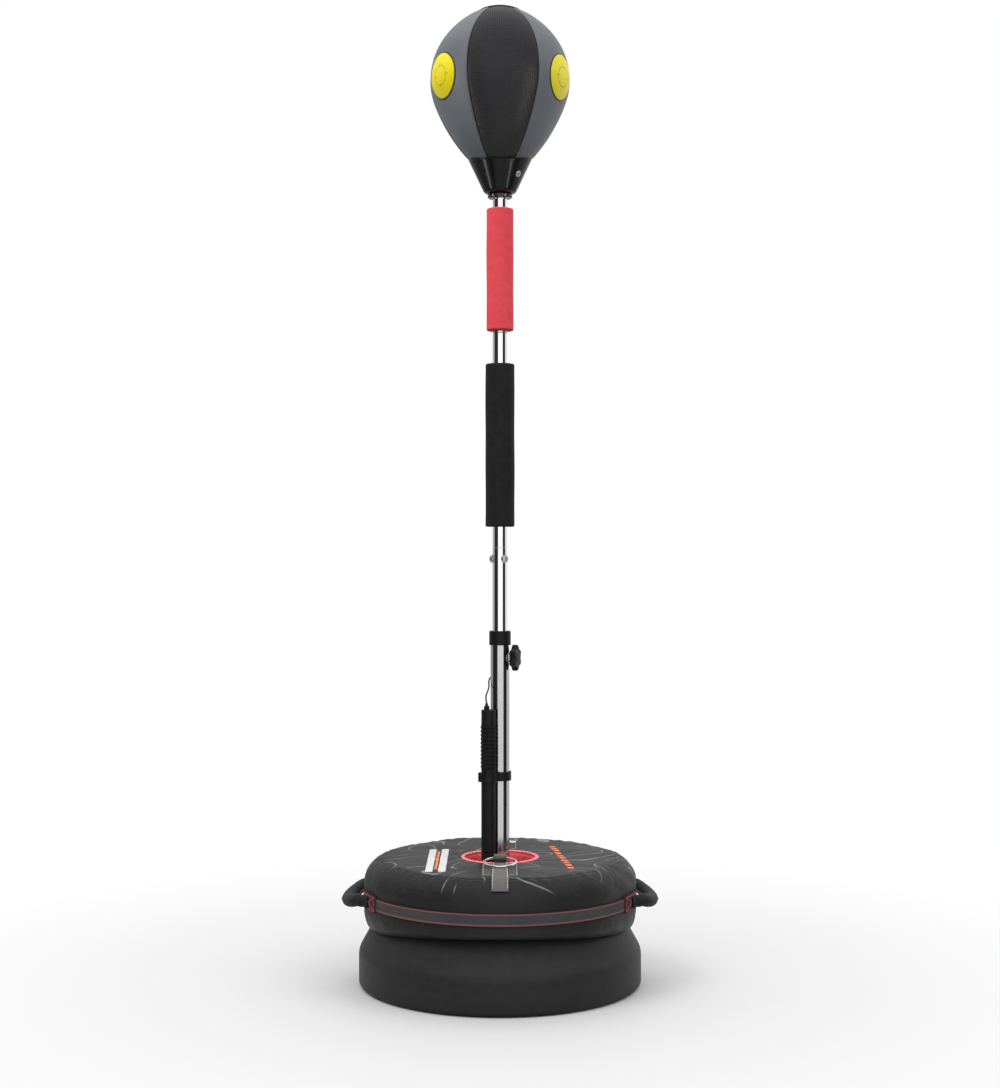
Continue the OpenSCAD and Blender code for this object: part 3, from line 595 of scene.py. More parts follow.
def bag_cloth(look):
    """Coated black cloth with thin contour lines, two pale stripes round an orange one, and orange dashes."""
    f = Finish("Bag cloth", {"Specular IOR Level": 0.3, "Sheen Weight": 0.03, "Sheen Roughness": 0.45})
    here = f.place()
    x, y, z = f.axes(here)
    u, v, _ = f.axes(f.cut())
    threads = f.weave(u, v, 0.0011)
    fade = f.noise(here, 9.0, 4.0, 0.55)
    dark, pale = (tuple(c * much for c in look.cloth) for much in (0.5, 0.95))
    cloth = f.blend((threads * 0.3 + fade * 0.7).rise(0.3, 0.75), dark, pale)
    # painted shade: the top panel is painted darker than the side
    cloth = f.blend(z.rise(0.200, 0.209) * 0.5, cloth, (0.004, 0.004, 0.004))
    # contour lines: the edges of steps in a slow field, worn thin here and there
    hills = f.noise(f.stretched(here, 1, 1, 0.1), 6.5, 1.0, 0.35)
    step = abs((hills * 13.0).part() - 0.5)
    line = step.rise(0.06, 0.02) * f.noise(here, 13.0, 2.0).rise(0.42, 0.52) * z.rise(0.186, 0.200)
    cloth = f.blend(line * 0.75, cloth, tone(128, 130, 132))
    # print on the top, left of the tab: two plain pale stripes and a short orange one
    left = x + 0.1045
    stripe = abs(abs(left) - 0.0105).rise(0.0062, 0.0056) * abs(y + 0.036).rise(0.107, 0.106)
    cloth = f.blend(stripe * z.over(0.2) * 0.9, cloth, tone(206, 206, 204))
    short = abs(left).rise(0.0022, 0.0017) * abs(y + 0.036).rise(0.085, 0.084)
    cloth = f.blend(short * z.over(0.2), cloth, look.accent)
    # and a slanting row of orange dashes on the right
    lean = x - 0.1025 + y * 0.12
    pace = (y + 0.118) / 0.0225
    dash = abs(lean).rise(0.0052, 0.0046) * abs(pace.part() - 0.5).rise(0.3, 0.28) * pace.over(0.0)
    cloth = f.blend(dash * (10.0 - pace).over(0.0) * z.over(0.2) * 0.95, cloth, look.accent)
    crumple = f.noise(here, 48.0, 4.0, 0.6)
    f.paint(cloth, fade * 0.18 + 0.4, threads * 0.00010 + crumple * 0.0018)
    return f


def lining_cloth(look):
    return woven("Lining cloth", look.lining, 0.0009, 0.6, 1.7)


def binding_cloth(look):
    return woven("Lining binding", tone(214, 120, 128), 0.0008, 0.7, 1.4)


def band_webbing(look):
    """Webbing with a herringbone middle and two rows of pink thread. Its UV runs round it, then along."""
    f = Finish("Band webbing", {"Specular IOR Level": 0.2})
    x, y, z = f.axes(f.place())
    u, v, _ = f.axes(f.cut())
    up = (z - 0.151) / 0.011
    zig = abs((up * 2.0).part() - 0.5) * 0.006
    bone = ((u + zig) / 0.0026).part()
    ridge = abs(bone - 0.5) * 2.0
    fade = f.noise(f.place(), 30.0, 3.0)
    body = f.blend(ridge * 0.6 + fade * 0.3, tone(40, 40, 42), tone(104, 104, 106))
    row = abs(abs(up) - 0.74).rise(0.15, 0.07)
    stitch = abs((u / 0.0042).part() - 0.5).rise(0.46, 0.38)
    body = f.blend(abs(up).rise(0.86, 0.93), body, tone(36, 34, 36))
    body = f.blend(row * (stitch * 0.5 + 0.3), body, look.thread)
    f.paint(body, 0.72, ridge * 0.00022 + row * stitch * 0.0003)
    return f


def patch_webbing(look):
    return woven("Handle patch", tone(66, 30, 37), 0.0016, 0.75, 1.7)


def tab_webbing(look):
    return woven("Tab webbing", tone(82, 80, 78), 0.0018, 0.75, 1.7)


def tab_cloth(look):
    return woven("Tab patch cloth", tone(60, 60, 60), 0.0011, 0.7, 1.7)


def handle_cloth(look):
    return woven("Handle cloth", tone(33, 33, 35), 0.0011, 0.6, 1.7)


def pink_thread(look):
    return woven("Pink thread", look.thread, 0.0006, 0.6, 1.3)


def pale_thread(look):
    return woven("Pale thread", tone(188, 180, 176), 0.0006, 0.6, 1.2)


def foam_black(look):
    return foam("Black foam", look.foam)


def foam_red(look):
    return foam("Red foam", look.red)


def seam_painted_shade(f, colour):
    """Painted shade: darkens a panel's colour close to its seam, as the shade that lies in the sunk seam. The
    mesh carries the distance to the seam in metres.
    """
    return f.blend(f.mark().rise(0.0016, 0.0005), colour, (0.004, 0.004, 0.004))


def ball_black(look):
    """Embossed leather: round dots on a square grid, with a fine crease grain between them."""
    f = Finish("Dotted leather", {"Specular IOR Level": 0.25, "Coat Roughness": 0.3, "Coat Weight": 0.06})
    u, v, _ = f.axes(f.cut())
    k = 1 / look.dot_pitch
    a, b = (u * k).part() - 0.5, (v * k).part() - 0.5
    dot = (a * a + b * b).rise(0.13, 0.05)
    grain = f.noise(f.place(), 700.0, 3.0, 0.6)
    cloud = f.noise(f.place(), 18.0, 3.0)
    skin = f.blend(dot * 0.95, tuple(c * 1.5 for c in look.black), tuple(c * 0.2 for c in look.black))
    skin = f.blend(cloud.rise(0.4, 0.75) * 0.3, skin, tuple(c * 2.0 for c in look.black))
    # painted shade in the sunk seams
    skin = seam_painted_shade(f, skin)
    f.paint(skin, dot * 0.25 + 0.36 + cloud * 0.08, dot * -0.00028 + grain * 0.00005)
    return f


def ball_grey(look):
    """Smooth coated leather: pore grain and shallow creases."""
    f = Finish("Smooth leather", {"Specular IOR Level": 0.2, "Coat Roughness": 0.35, "Coat Weight": 0.04})
    here = f.place()
    pores = f.cells(here, 900.0, "SMOOTH_F1").rise(0.05, 0.6)
    crease = f.noise(here, 60.0, 5.0, 0.6)
    cloud = f.noise(here, 12.0, 3.0)
    skin = f.blend(cloud.rise(0.3, 0.75), tuple(c * 0.9 for c in look.grey), tuple(c * 1.12 for c in look.grey))
    # painted shade in the sunk seams
    skin = seam_painted_shade(f, skin)
    f.paint(skin, 0.4 + cloud * 0.1, pores * 0.00007 + crease * 0.0003)
    return f


def ball_patch(look):
    return moulded("Top patch leather", tone(24, 24, 25), 0.48, 0.0001, 0.0015)


def disc_print(look):
    """Yellow disc with a dark rim, a thin ring and four short ticks round its middle."""
    f = Finish("Yellow disc print", {"Coat Roughness": 0.3, "Coat Weight": 0.2})
    u, v, _ = f.axes(f.cut())
    away = (u * u + v * v) ** 0.5
    cloud = f.noise(f.place(), 40.0, 3.0)
    face = f.blend(cloud, look.yellow, tuple(c * 0.88 for c in look.yellow))
    ring = abs(away - 0.0165).rise(0.0008, 0.0004)
    cross = abs(u).least(abs(v)).rise(0.0007, 0.0003) * (away.over(0.0125)) * (1 - away.over(0.0225))
    face = f.blend(ring.most(cross) * 0.7, face, tone(96, 92, 20))
    face = f.blend(away.rise(0.0362, 0.0370), face, tone(40, 42, 14))
    f.paint(face, cloud * 0.1 + 0.42, cloud * 0.0002)
    return f


def cup_gloss(look):
    steady = {"Specular IOR Level": 0.12, "Coat Weight": 0.12, "Coat Roughness": 0.12}
    return moulded("Cup rubber", tone(14, 14, 15), 0.26, 0.00002, 0.002, steady)


def ferrule_gloss(look):
    steady = {"Specular IOR Level": 0.5, "Coat Weight": 0.3, "Coat Roughness": 0.1}
    return moulded("Ferrule plastic", tone(12, 12, 13), 0.22, 0.00002, 0.002, steady)


def valve_white(look):
    return moulded("Valve rubber", tone(200, 200, 198), 0.5, 0.00003, 0.001)


# painted shade: a grey plug stands for the shade inside the valve's hole
def painted_valve_hole_shade(look):
    return moulded("Painted valve hole shade", tone(70, 70, 70), 0.6, 0.00003, 0.001)


def black_plastic(look):
    return moulded("Black nylon", tone(22, 22, 23), 0.46, 0.00006, 0.001, worn=0.08)


def pump_plastic(look):
    return moulded("Pump plastic", tone(24, 24, 25), 0.5, 0.00007, 0.0009)


def grip_rubber(look):
    return moulded("Grip rubber", tone(20, 20, 20), 0.66, 0.0001, 0.0008)


def foot_rubber(look):
    return moulded("Foot rubber", tone(18, 18, 18), 0.75, 0.0001, 0.0012)


def latex(look):
    return moulded("Bladder rubber", tone(96, 30, 26), 0.6, 0.0001, 0.002)


def hose_braid(look):
    """Fine braid on a thin hose: two sets of threads wound against each other on the UV map."""
    f = Finish("Braided hose")
    u, v, _ = f.axes(f.cut())
    one = ((u + v) * (2 * PI / 0.0013)).sine()
    two = ((u - v) * (2 * PI / 0.0013)).sine()
    braid = one.most(two)
    f.paint(f.blend(braid.rise(-0.2, 1.0), tone(20, 20, 21), tone(64, 64, 66)), 0.6, braid * 0.00012)
    return f


FINISHES = {
    "drum": drum_plastic,
    "chrome": chrome,
    "zinc": zinc,
    "rod": rod_steel,
    "bolt": bolt_zinc,
    "foot": cast_steel,
    "spring": spring_steel,
    "brass": brass,
    "needle": needle_steel,
    "wood": wood,
    "sand": sand,
    "bag": bag_cloth,
    "lining": lining_cloth,
    "binding": binding_cloth,
    "band": band_webbing,
    "patch": patch_webbing,
    "tab": tab_webbing,
    "tab cloth": tab_cloth,
    "handle": handle_cloth,
    "pink thread": pink_thread,
    "pale thread": pale_thread,
    "foam black": foam_black,
    "foam red": foam_red,
    "dotted": ball_black,
    "grey leather": ball_grey,
    "ball patch": ball_patch,
    "yellow disc": disc_print,
    "cup": cup_gloss,
    "ferrule": ferrule_gloss,
    "valve": valve_white,
    "painted valve hole": painted_valve_hole_shade,
    "nylon": black_plastic,
    "pump": pump_plastic,
    "grip": grip_rubber,
    "rubber": foot_rubber,
    "latex": latex,
    "hose": hose_braid,
}
_made = {}


def finish_named(name):
    """The material of a finish, made when it is first wanted."""
    if name not in _made:
        _made[name] = FINISHES[name](bpy.context.scene.reflex_look).material
    return _made[name]


# ---------------------------------------------------------------------------------------------
# Sizes and colours that a user would change
# ---------------------------------------------------------------------------------------------


def colour_setting(name, description, red, green, blue):
    default = tone(red, green, blue)
    return FloatVectorProperty(
        name=name, description=description, subtype="COLOR", size=3, min=0, max=1, default=default
    )


def length_setting(name, description, default):
    return FloatProperty(name=name, description=description, default=default, unit="LENGTH", precision=4)


def power_setting(name, description, default):
    return FloatProperty(name=name, description=description, default=default, unit="POWER")


class ReflexLook(PropertyGroup):
    """Colours of the visible finishes."""

    drum: colour_setting("Drum", "Moulded drum", 42, 42, 43)
    cloth: colour_setting("Bag cloth", "Coated cloth of the ring sandbag", 38, 38, 39)
    lining: colour_setting("Lining", "Pleated lining of the bag's hole", 204, 78, 84)
    accent: colour_setting("Accent print", "Stripe and dashes on the bag", 236, 108, 30)
    thread: colour_setting("Thread", "Stitches on the band and handles", 168, 96, 102)
    black: colour_setting("Dotted leather", "Embossed panels of the ball", 29, 29, 31)
    grey: colour_setting("Grey leather", "Smooth panels of the ball", 92, 96, 100)
    yellow: colour_setting("Yellow discs", "Round discs on the ball", 255, 238, 0)
    foam: colour_setting("Black foam", "Long foam sleeve", 34, 34, 34)
    red: colour_setting("Red foam", "Short foam sleeve", 255, 84, 94)
    dot_pitch: length_setting("Dot pitch", "Distance between the embossed dots", 0.0034)


class ReflexSizes(PropertyGroup):
    """Sizes that shape the fabric and the ball without moving any part."""

    puff: length_setting("Panel puff", "How far a ball panel rises between its seams", 0.0007)
    seam: length_setting("Seam depth", "How deep the ball's seams lie", 0.0014)
    pleat: length_setting("Pleat depth", "Depth of the pleats in the bag's lining", 0.0022)
    wrinkle: length_setting("Wrinkles", "Height of the bag's wrinkles", 0.0011)
    segments: IntProperty(
        name="Segments", description="Faces round the large turned parts", default=192, min=48, max=360
    )


class ReflexStage(PropertyGroup):
    """Camera, floor and light."""

    distance: length_setting("Camera distance", "From the pole to the camera", 3.007)
    height: length_setting("Camera height", "Camera above the floor", 0.739)
    lens: FloatProperty(
        name="Lens", description="Focal length for a 36 mm wide sensor", default=58.9, unit="CAMERA"
    )
    strip: power_setting("Strip lights", "Power of each strip light", 12.0)
    key: power_setting("Key light", "Power of the large light", 34.0)
    fill: power_setting("Fill light", "Power of the lesser light", 16.0)
    world: FloatProperty(name="Surroundings", description="Strength of the walls", default=1.0, min=0, max=5)


# ---------------------------------------------------------------------------------------------
# Stage and cord
# ---------------------------------------------------------------------------------------------


def grey(light):
    """The same linear light in all three colours."""
    return (light, light, light)


class REFLEX_OT_stage(Operator):
    """Camera, pale floor, soft lights and the bright and dark walls that metal mirrors"""

    bl_idname = "reflex.stage"
    bl_label = "Stage"

    def execute(self, context):
        scene, stage = context.scene, context.scene.reflex_stage
        scene.view_settings.view_transform = "Standard"
        camera = bpy.data.objects.new("Camera", bpy.data.cameras.new("Camera"))
        scene.collection.objects.link(camera)
        camera.location = (0, -stage.distance, stage.height)
        camera.rotation_euler = (PI / 2, 0, 0)
        camera.data.lens, camera.data.sensor_width = stage.lens, 36
        scene.camera = camera

        world = bpy.data.worlds.new("Studio")
        world.use_nodes = True
        scene.world = world
        tree = world.node_tree
        tree.nodes.clear()
        walls = Finish.__new__(Finish)
        walls.tree = tree
        way = walls.node("ShaderNodeTexCoord", output="Generated")
        x, y, z = walls.axes(way)
        turn = walls.node("ShaderNodeMath", {"operation": "ARCTAN2"}, {0: x, 1: 0 - y}) / (2 * PI) + 0.5
        # round the studio from behind the object, by its left, the front and its right
        stops = [
            (0.0, 0.62), (0.235, 0.36), (0.25, 0.02), (0.41, 0.03), (0.425, 1.15), (0.61, 1.15),
            (0.622, 0.03), (0.735, 0.02), (0.752, 0.8), (1.0, 0.95),
        ]  # fmt: skip
        settings = {"stops": [(at, grey(v)) for at, v in stops]}
        band = walls.node("ShaderNodeValToRGB", settings, {"Fac": turn}, "Color")
        sky = walls.blend(abs(z).rise(0.42, 0.75), band, grey(0.85))
        # matt surfaces are lit by a ceiling brighter than the walls, so slopes that face up stand out
        soft = walls.node("ShaderNodeLightPath", output="Is Diffuse Ray")
        sky = walls.blend(soft, sky, walls.blend(z.rise(0.05, 0.75), grey(0.07), grey(1.5)))
        seen = walls.node("ShaderNodeLightPath", output="Is Camera Ray")
        light = walls.node(
            "ShaderNodeBackground", {}, {"Color": walls.blend(seen, sky, grey(1.0)), "Strength": stage.world}
        )
        sheet = tree.nodes.new("ShaderNodeOutputWorld")
        tree.links.new(light.socket, sheet.inputs[0])

        floor = Finish("Studio floor", {"Roughness": 0.6, "Specular IOR Level": 0.1})
        here = floor.place()
        fx, fy, _ = floor.axes(here)
        away = (fx * fx + fy * fy) ** 0.5
        speck = floor.noise(here, 40.0, 3.0)
        # the floor sends little light back up at the dark sides of the drum and the bag
        soft = floor.node("ShaderNodeLightPath", output="Is Diffuse Ray")
        pale = floor.blend(speck, grey(0.53), grey(0.55))
        floor.paint(floor.blend(soft, pale, grey(0.12)), 0.6)
        seen = floor.node("ShaderNodeLightPath", output="Is Camera Ray")
        # mirrored in metal, the floor carries on the walls' stripes
        bearing = floor.node("ShaderNodeMath", {"operation": "ARCTAN2"}, {0: fx, 1: 0 - fy}) / (2 * PI) + 0.5
        stripes = floor.node("ShaderNodeValToRGB", settings, {"Fac": bearing}, "Color")
        mirrored = floor.node("ShaderNodeLightPath", output="Is Glossy Ray")
        tint = floor.blend(mirrored, (1, 1, 1), stripes)
        strength = seen * 0.88 + mirrored * 0.7 + 0.12
        glow = floor.node("ShaderNodeEmission", {}, {"Color": tint, "Strength": strength})
        plain = Field(floor, floor.shader.outputs[0])
        both = floor.node("ShaderNodeMixShader", {}, {0: away.rise(0.3, 1.25), 1: plain, 2: glow})
        end = next(n for n in floor.tree.nodes if n.type == "OUTPUT_MATERIAL")
        floor.tree.links.new(both.socket, end.inputs[0])
        mesh = bpy.data.meshes.new("Floor")
        ring = turned([(r, 0) for r in (6000, 1500, 700, 350, 100)], 64)
        ids = np.arange(5 * 64).reshape(5, 64)
        nxt = np.roll(ids, -1, 1)
        quads = np.stack([ids[:-1], nxt[:-1], nxt[1:], ids[1:]], -1).reshape(-1, 4)
        faces = quads.tolist() + [ids[-1].tolist()]
        mesh.from_pydata(ring.reshape(-1, 3) * MM, [], faces)
        mesh.materials.append(floor.material)
        ground = bpy.data.objects.new("Floor", mesh)
        scene.collection.objects.link(ground)

        for name, power, size, at, aim in (
            ("Key", stage.key, 1.4, (-1.5, -1.2, 2.9), (0, 0, 0.5)),
            ("Fill", stage.fill, 1.6, (1.9, -0.9, 2.4), (0, 0, 0.5)),
            ("Top", stage.fill * 0.9, 1.8, (0, 0.6, 3.1), (0, 0, 0.3)),
        ):
            lamp = bpy.data.lights.new(name, "AREA")
            lamp.energy, lamp.size, lamp.shape = power, size, "DISK"
            holder = bpy.data.objects.new(name, lamp)
            holder.location = at
            way = holder.location.copy()
            way.xyz = [a - b for a, b in zip(at, aim)]
            holder.rotation_euler = way.to_track_quat("Z", "Y").to_euler()
            holder.visible_glossy = False
            scene.collection.objects.link(holder)
        return {"FINISHED"}


class REFLEX_OT_strips(Operator):
    """Two upright strip lights that only the ball, its cup and its ferrule see"""

    bl_idname = "reflex.strips"
    bl_label = "Strip lights for the ball"

    def execute(self, context):
        glossy = bpy.data.collections.new("Glossy pieces")
        for name in ("panels_dotted", "panels_smooth", "cup_moulded", "ferrule_turned"):
            glossy.objects.link(bpy.data.objects[name])
        strip = context.scene.reflex_stage.strip
        for name, x, y, power in (("Strip left", -1.3, -0.5, strip), ("Strip right", 1.2, -0.95, strip * 0.9)):
            lamp = bpy.data.lights.new(name, "AREA")
            lamp.shape, lamp.size, lamp.size_y, lamp.energy = "RECTANGLE", 0.16, 1.9, power
            holder = bpy.data.objects.new(name, lamp)
            holder.location = (x, y, 0.95)
            holder.rotation_euler = (PI / 2, 0, math.atan2(x, -y))
            holder.visible_camera = False
            context.scene.collection.objects.link(holder)
            holder.light_linking.receiver_collection = glossy
        return {"FINISHED"}


HOSE_ROUTE = [
    (-22.4, -21.6, 472), (-23.2, -21.4, 476.5), (-23.6, -20.6, 481), (-23, -19, 485.6), (-21.6, -16.6, 489.6),
    (-20.1, -13.4, 493.2), (-19, -9.6, 496.6), (-18.6, -5.2, 500), (-18.8, -0.8, 503.6), (-18.7, 3.8, 507.2),
    (-17.6, 8.4, 510.6), (-15, 12.8, 513.6), (-11.2, 16.4, 515.2), (-6.8, 19, 515), (-2.8, 20.8, 512.6),
    (0, 21.6, 508.4), (1.6, 21.4, 503.2), (2.2, 20.7, 497.4), (2.2, 19.8, 491.4), (1.9, 19, 485.4),
    (1.4, 18.4, 479.4), (0.9, 18.1, 473.2), (0.4, 18, 467), (0, 18, 461), (-0.3, 18, 455), (-0.4, 18, 449),
    (-0.4, 18, 443), (-0.3, 18, 437), (-0.2, 18, 431), (0, 18.1, 425), (0, 18.5, 419), (0, 19.3, 413),
    (0, 20.4, 407), (0, 21.4, 401), (0, 22, 395.5), (0, 22.2, 390),
]  # fmt: skip


class REFLEX_OT_hose(Operator):
    """Thin braided hose from the pump's nozzle to the air needle, and the needle"""

    bl_idname = "reflex.hose"
    bl_label = "Pump hose and needle"

    def execute(self, context):
        path = smoothed(HOSE_ROUTE, 5)
        hose = Form().surface(swept(path, oval(2.6, 2.6, 12), (1, 0, 0)), wrap=True, first=True, last=True)
        piece = hose.make("hose", "hose", "base", "hose_rubber", "pump_hose")
        hub = [(0.9, 376.4), (2.6, 376), (3.2, 378), (3.2, 381), (2.4, 383), (3.1, 385.5), (3.1, 389.6)]
        hub = eased([*hub, (1.5, 390)], 0.5, 4, False)
        stem = eased([(0.3, 326), (1.05, 327.2), (1.1, 376), (0.6, 376.9)], 0.4, 4, False)
        end, _ = (
            Form()
            .surface(turned(line, 24, (0, 22.2)), wrap=True, first=True, last=True)
            .make(name, "needle", "base", "needle_steel", "pump_needle")
            for name, line in (("needle_hub", hub), ("needle_stem", stem))
        )
        return {"FINISHED"}


# ---------------------------------------------------------------------------------------------
# Drum
# ---------------------------------------------------------------------------------------------

FILLER_AT = np.array([0, 227.07, 78.0])
FILLER_OUT = np.array([0, 0.8729, 0.4879])


def drum_line(inset):
    """Half section of the drum, from the middle of its floor out, up and in again, moved inwards by inset:
    foot edge, straight wall, shoulder arc, cone, and the raised rim round the shallow tray of its top."""

    def arc(x, z, radius, start, stop, count):
        a = np.radians(np.linspace(start, stop, count))
        return np.stack([x + (radius - inset) * np.cos(a), z + (radius - inset) * np.sin(a)], -1)

    return np.concatenate(
        [
            [[12, 2 + inset]],
            arc(230.5, 9, 7, -90, 0, 7),
            arc(205.5, 51, 32, 0, 29.2, 12),
            arc(201.75, 111, 6, 29.2, 90, 7),
            arc(193, 112, 5, 90, 180, 6),
            [[188 + inset, 100 - inset], [12, 100 - inset]],
        ]
    )


class REFLEX_OT_drum(Operator):
    """Moulded drum with its sunk filler pocket, the filler cap, feet and what lies inside"""

    bl_idname = "reflex.drum"
    bl_label = "Drum"

    def execute(self, context):
        # columns are closer together at the filler, which is a quarter turn round from the x axis
        a = np.linspace(0, 2 * PI, 4001)
        density = 1 + 13 * bell(a - PI / 2, math.radians(6))
        share = np.append(0, np.cumsum((density[1:] + density[:-1]) / 2))
        angles = np.interp(np.linspace(0, share[-1], 289)[:-1], share, a)
        shell = Form()
        for inset, hole, floor in ((0, 18.5, 14), (4, 22.5, 14)):
            line = drum_line(inset)
            # rows are closest together on the shoulder and cone, where the filler's pocket is
            floor_up, slope, rim = line[:9], line[8:21], line[20:]
            line = np.concatenate([filled(floor_up, 25)[:-1], filled(slope, 1.1), filled(rim, 25)[1:]])
            if inset:
                line = line[::-1]
            grid = turned(line, angles=angles)
            off = grid - FILLER_AT
            depth = off @ FILLER_OUT
            side = np.linalg.norm(off - depth[..., None] * FILLER_OUT, axis=-1)
            sunk = ease((hole + 0.9 - side) / 1.8) * (depth > -60)
            # the pocket's floor is flat: points are moved along its axis to one depth
            goal = -floor - (4 if inset else 0)
            grid = grid + (sunk * (goal - depth))[..., None] * FILLER_OUT
            shell.surface(grid, wrap=True, first=True, last=True)
        shell.make("drum", "drum", "base", "drum_plastic", "base_shell", crease=50)

        neck = Form()
        neck.surface(
            carried(turned(eased(ring_box(11, 8, -14.5, -5), 0.6), 48), FILLER_AT, FILLER_OUT),
            wrap=True,
            ring=True,
        )
        neck.make("filler_neck", "drum", "base", "drum_plastic")
        ribs = around(144)
        outer = 15 + 0.9 * ease((np.cos(12 * ribs) + 0.35) / 0.7)
        line = [(0.2, -12.5), (12.2, -12.5), (15, -12.1), (15, -2.2), (13.6, -0.5), (0.2, -0.5)]
        line = filled(eased(line, 0.8, 5, False), 2.0)
        edge = ease((line[:, :1] - 12.4) / 2.4)
        radius = line[:, :1] * (1 + edge * (outer / 15 - 1))
        cap = np.stack([radius * np.cos(ribs), radius * np.sin(ribs), line[:, 1:] + 0 * ribs], -1)
        # a shallow finger bar across the cap's face
        face = ease((line[:, 1:] + 0.9) / 0.3) * ease((11.5 - radius) / 1.5)
        cap[..., 2] += face * 1.1 * (ease((3.2 - np.abs(cap[..., 1])) / 1.2) - 0.9)
        Form().surface(carried(cap, FILLER_AT, FILLER_OUT), wrap=True, first=True, last=True).make(
            "filler_cap_ribbed", "nylon", "cap", "cap_plastic", "filler_cap"
        )
        softened("filler_seal", "rubber", 0.2)
        softened("base_pads", "rubber", 0.6)
        softened("foot_inserts", "brass", 0.3)
        heap = frame["nodes"]["ballast_fill"]
        heap.data.materials.clear()
        heap.data.materials.append(finish_named("sand"))
        return {"FINISHED"}


# ---------------------------------------------------------------------------------------------
# Ring sandbag
# ---------------------------------------------------------------------------------------------

BAG = {"out": 228.0, "in": 59.8, "low": 100.3, "high": 211.0, "shoulder": 37.0, "foot": 16.5, "hang": 107.5}


CONE_RUN = 0.5589  # how far the drum's cone comes in for each millimetre up
EDGE_SWING = 9.5  # how much higher the bag's edge hangs at the front than its mean, and lower at the sides
BAND_Z = 151  # mid height of the band, the patches and the handles' roots
PATCH_HALF = 14  # half the height of a handle's patch
HANDLE_HINGE = 235.558  # distance of a handle's hinge from the pole's axis
RING_Y, RING_Z = 71.5, 222  # where each wire ring is hinged, before and behind the pole
RING_R, WIRE_R = 26, 2  # mean radius of a wire ring, and its wire's


def bag_line(step=3.2):
    """Section of the ring sandbag, counter-clockwise from the bottom of its hole: underside in the drum's tray,
    over the drum's rim, bottom edge, side, shoulder, top and the wall of the hole."""

    def arc(x, z, rx, rz, start, stop, count):
        a = np.radians(np.linspace(start, stop, count))
        return np.stack([x + rx * np.cos(a), z + rz * np.sin(a)], -1)

    b = BAG
    line = np.concatenate(
        [
            arc(b["in"] + 6, b["low"] + 6, 6, 6, 180, 270, 5),
            [[186.2, b["low"]]],
            arc(193, 112, 5.3, 5.3, 180, 90, 5),
            arc(201.75, 111, 6.3, 6.3, 90, 29.2, 6),
            arc(b["out"] - b["foot"], b["hang"] + b["foot"], b["foot"], b["foot"], -90, 0, 9),
            arc(b["out"] - b["shoulder"], b["high"] - b["shoulder"], b["shoulder"], b["shoulder"], 0, 90, 13),
            arc(b["in"] + 6, b["high"] - 6, 6, 6, 90, 180, 5),
        ]
    )
    return filled(line, step)


def top_height(reach):
    """Height of the bag's plain top and shoulder at a distance from the pole."""
    r = np.clip(reach - (BAG["out"] - BAG["shoulder"]), 0, BAG["shoulder"])
    return BAG["high"] - BAG["shoulder"] + np.sqrt(np.clip(BAG["shoulder"] ** 2 - r**2, 0, None))


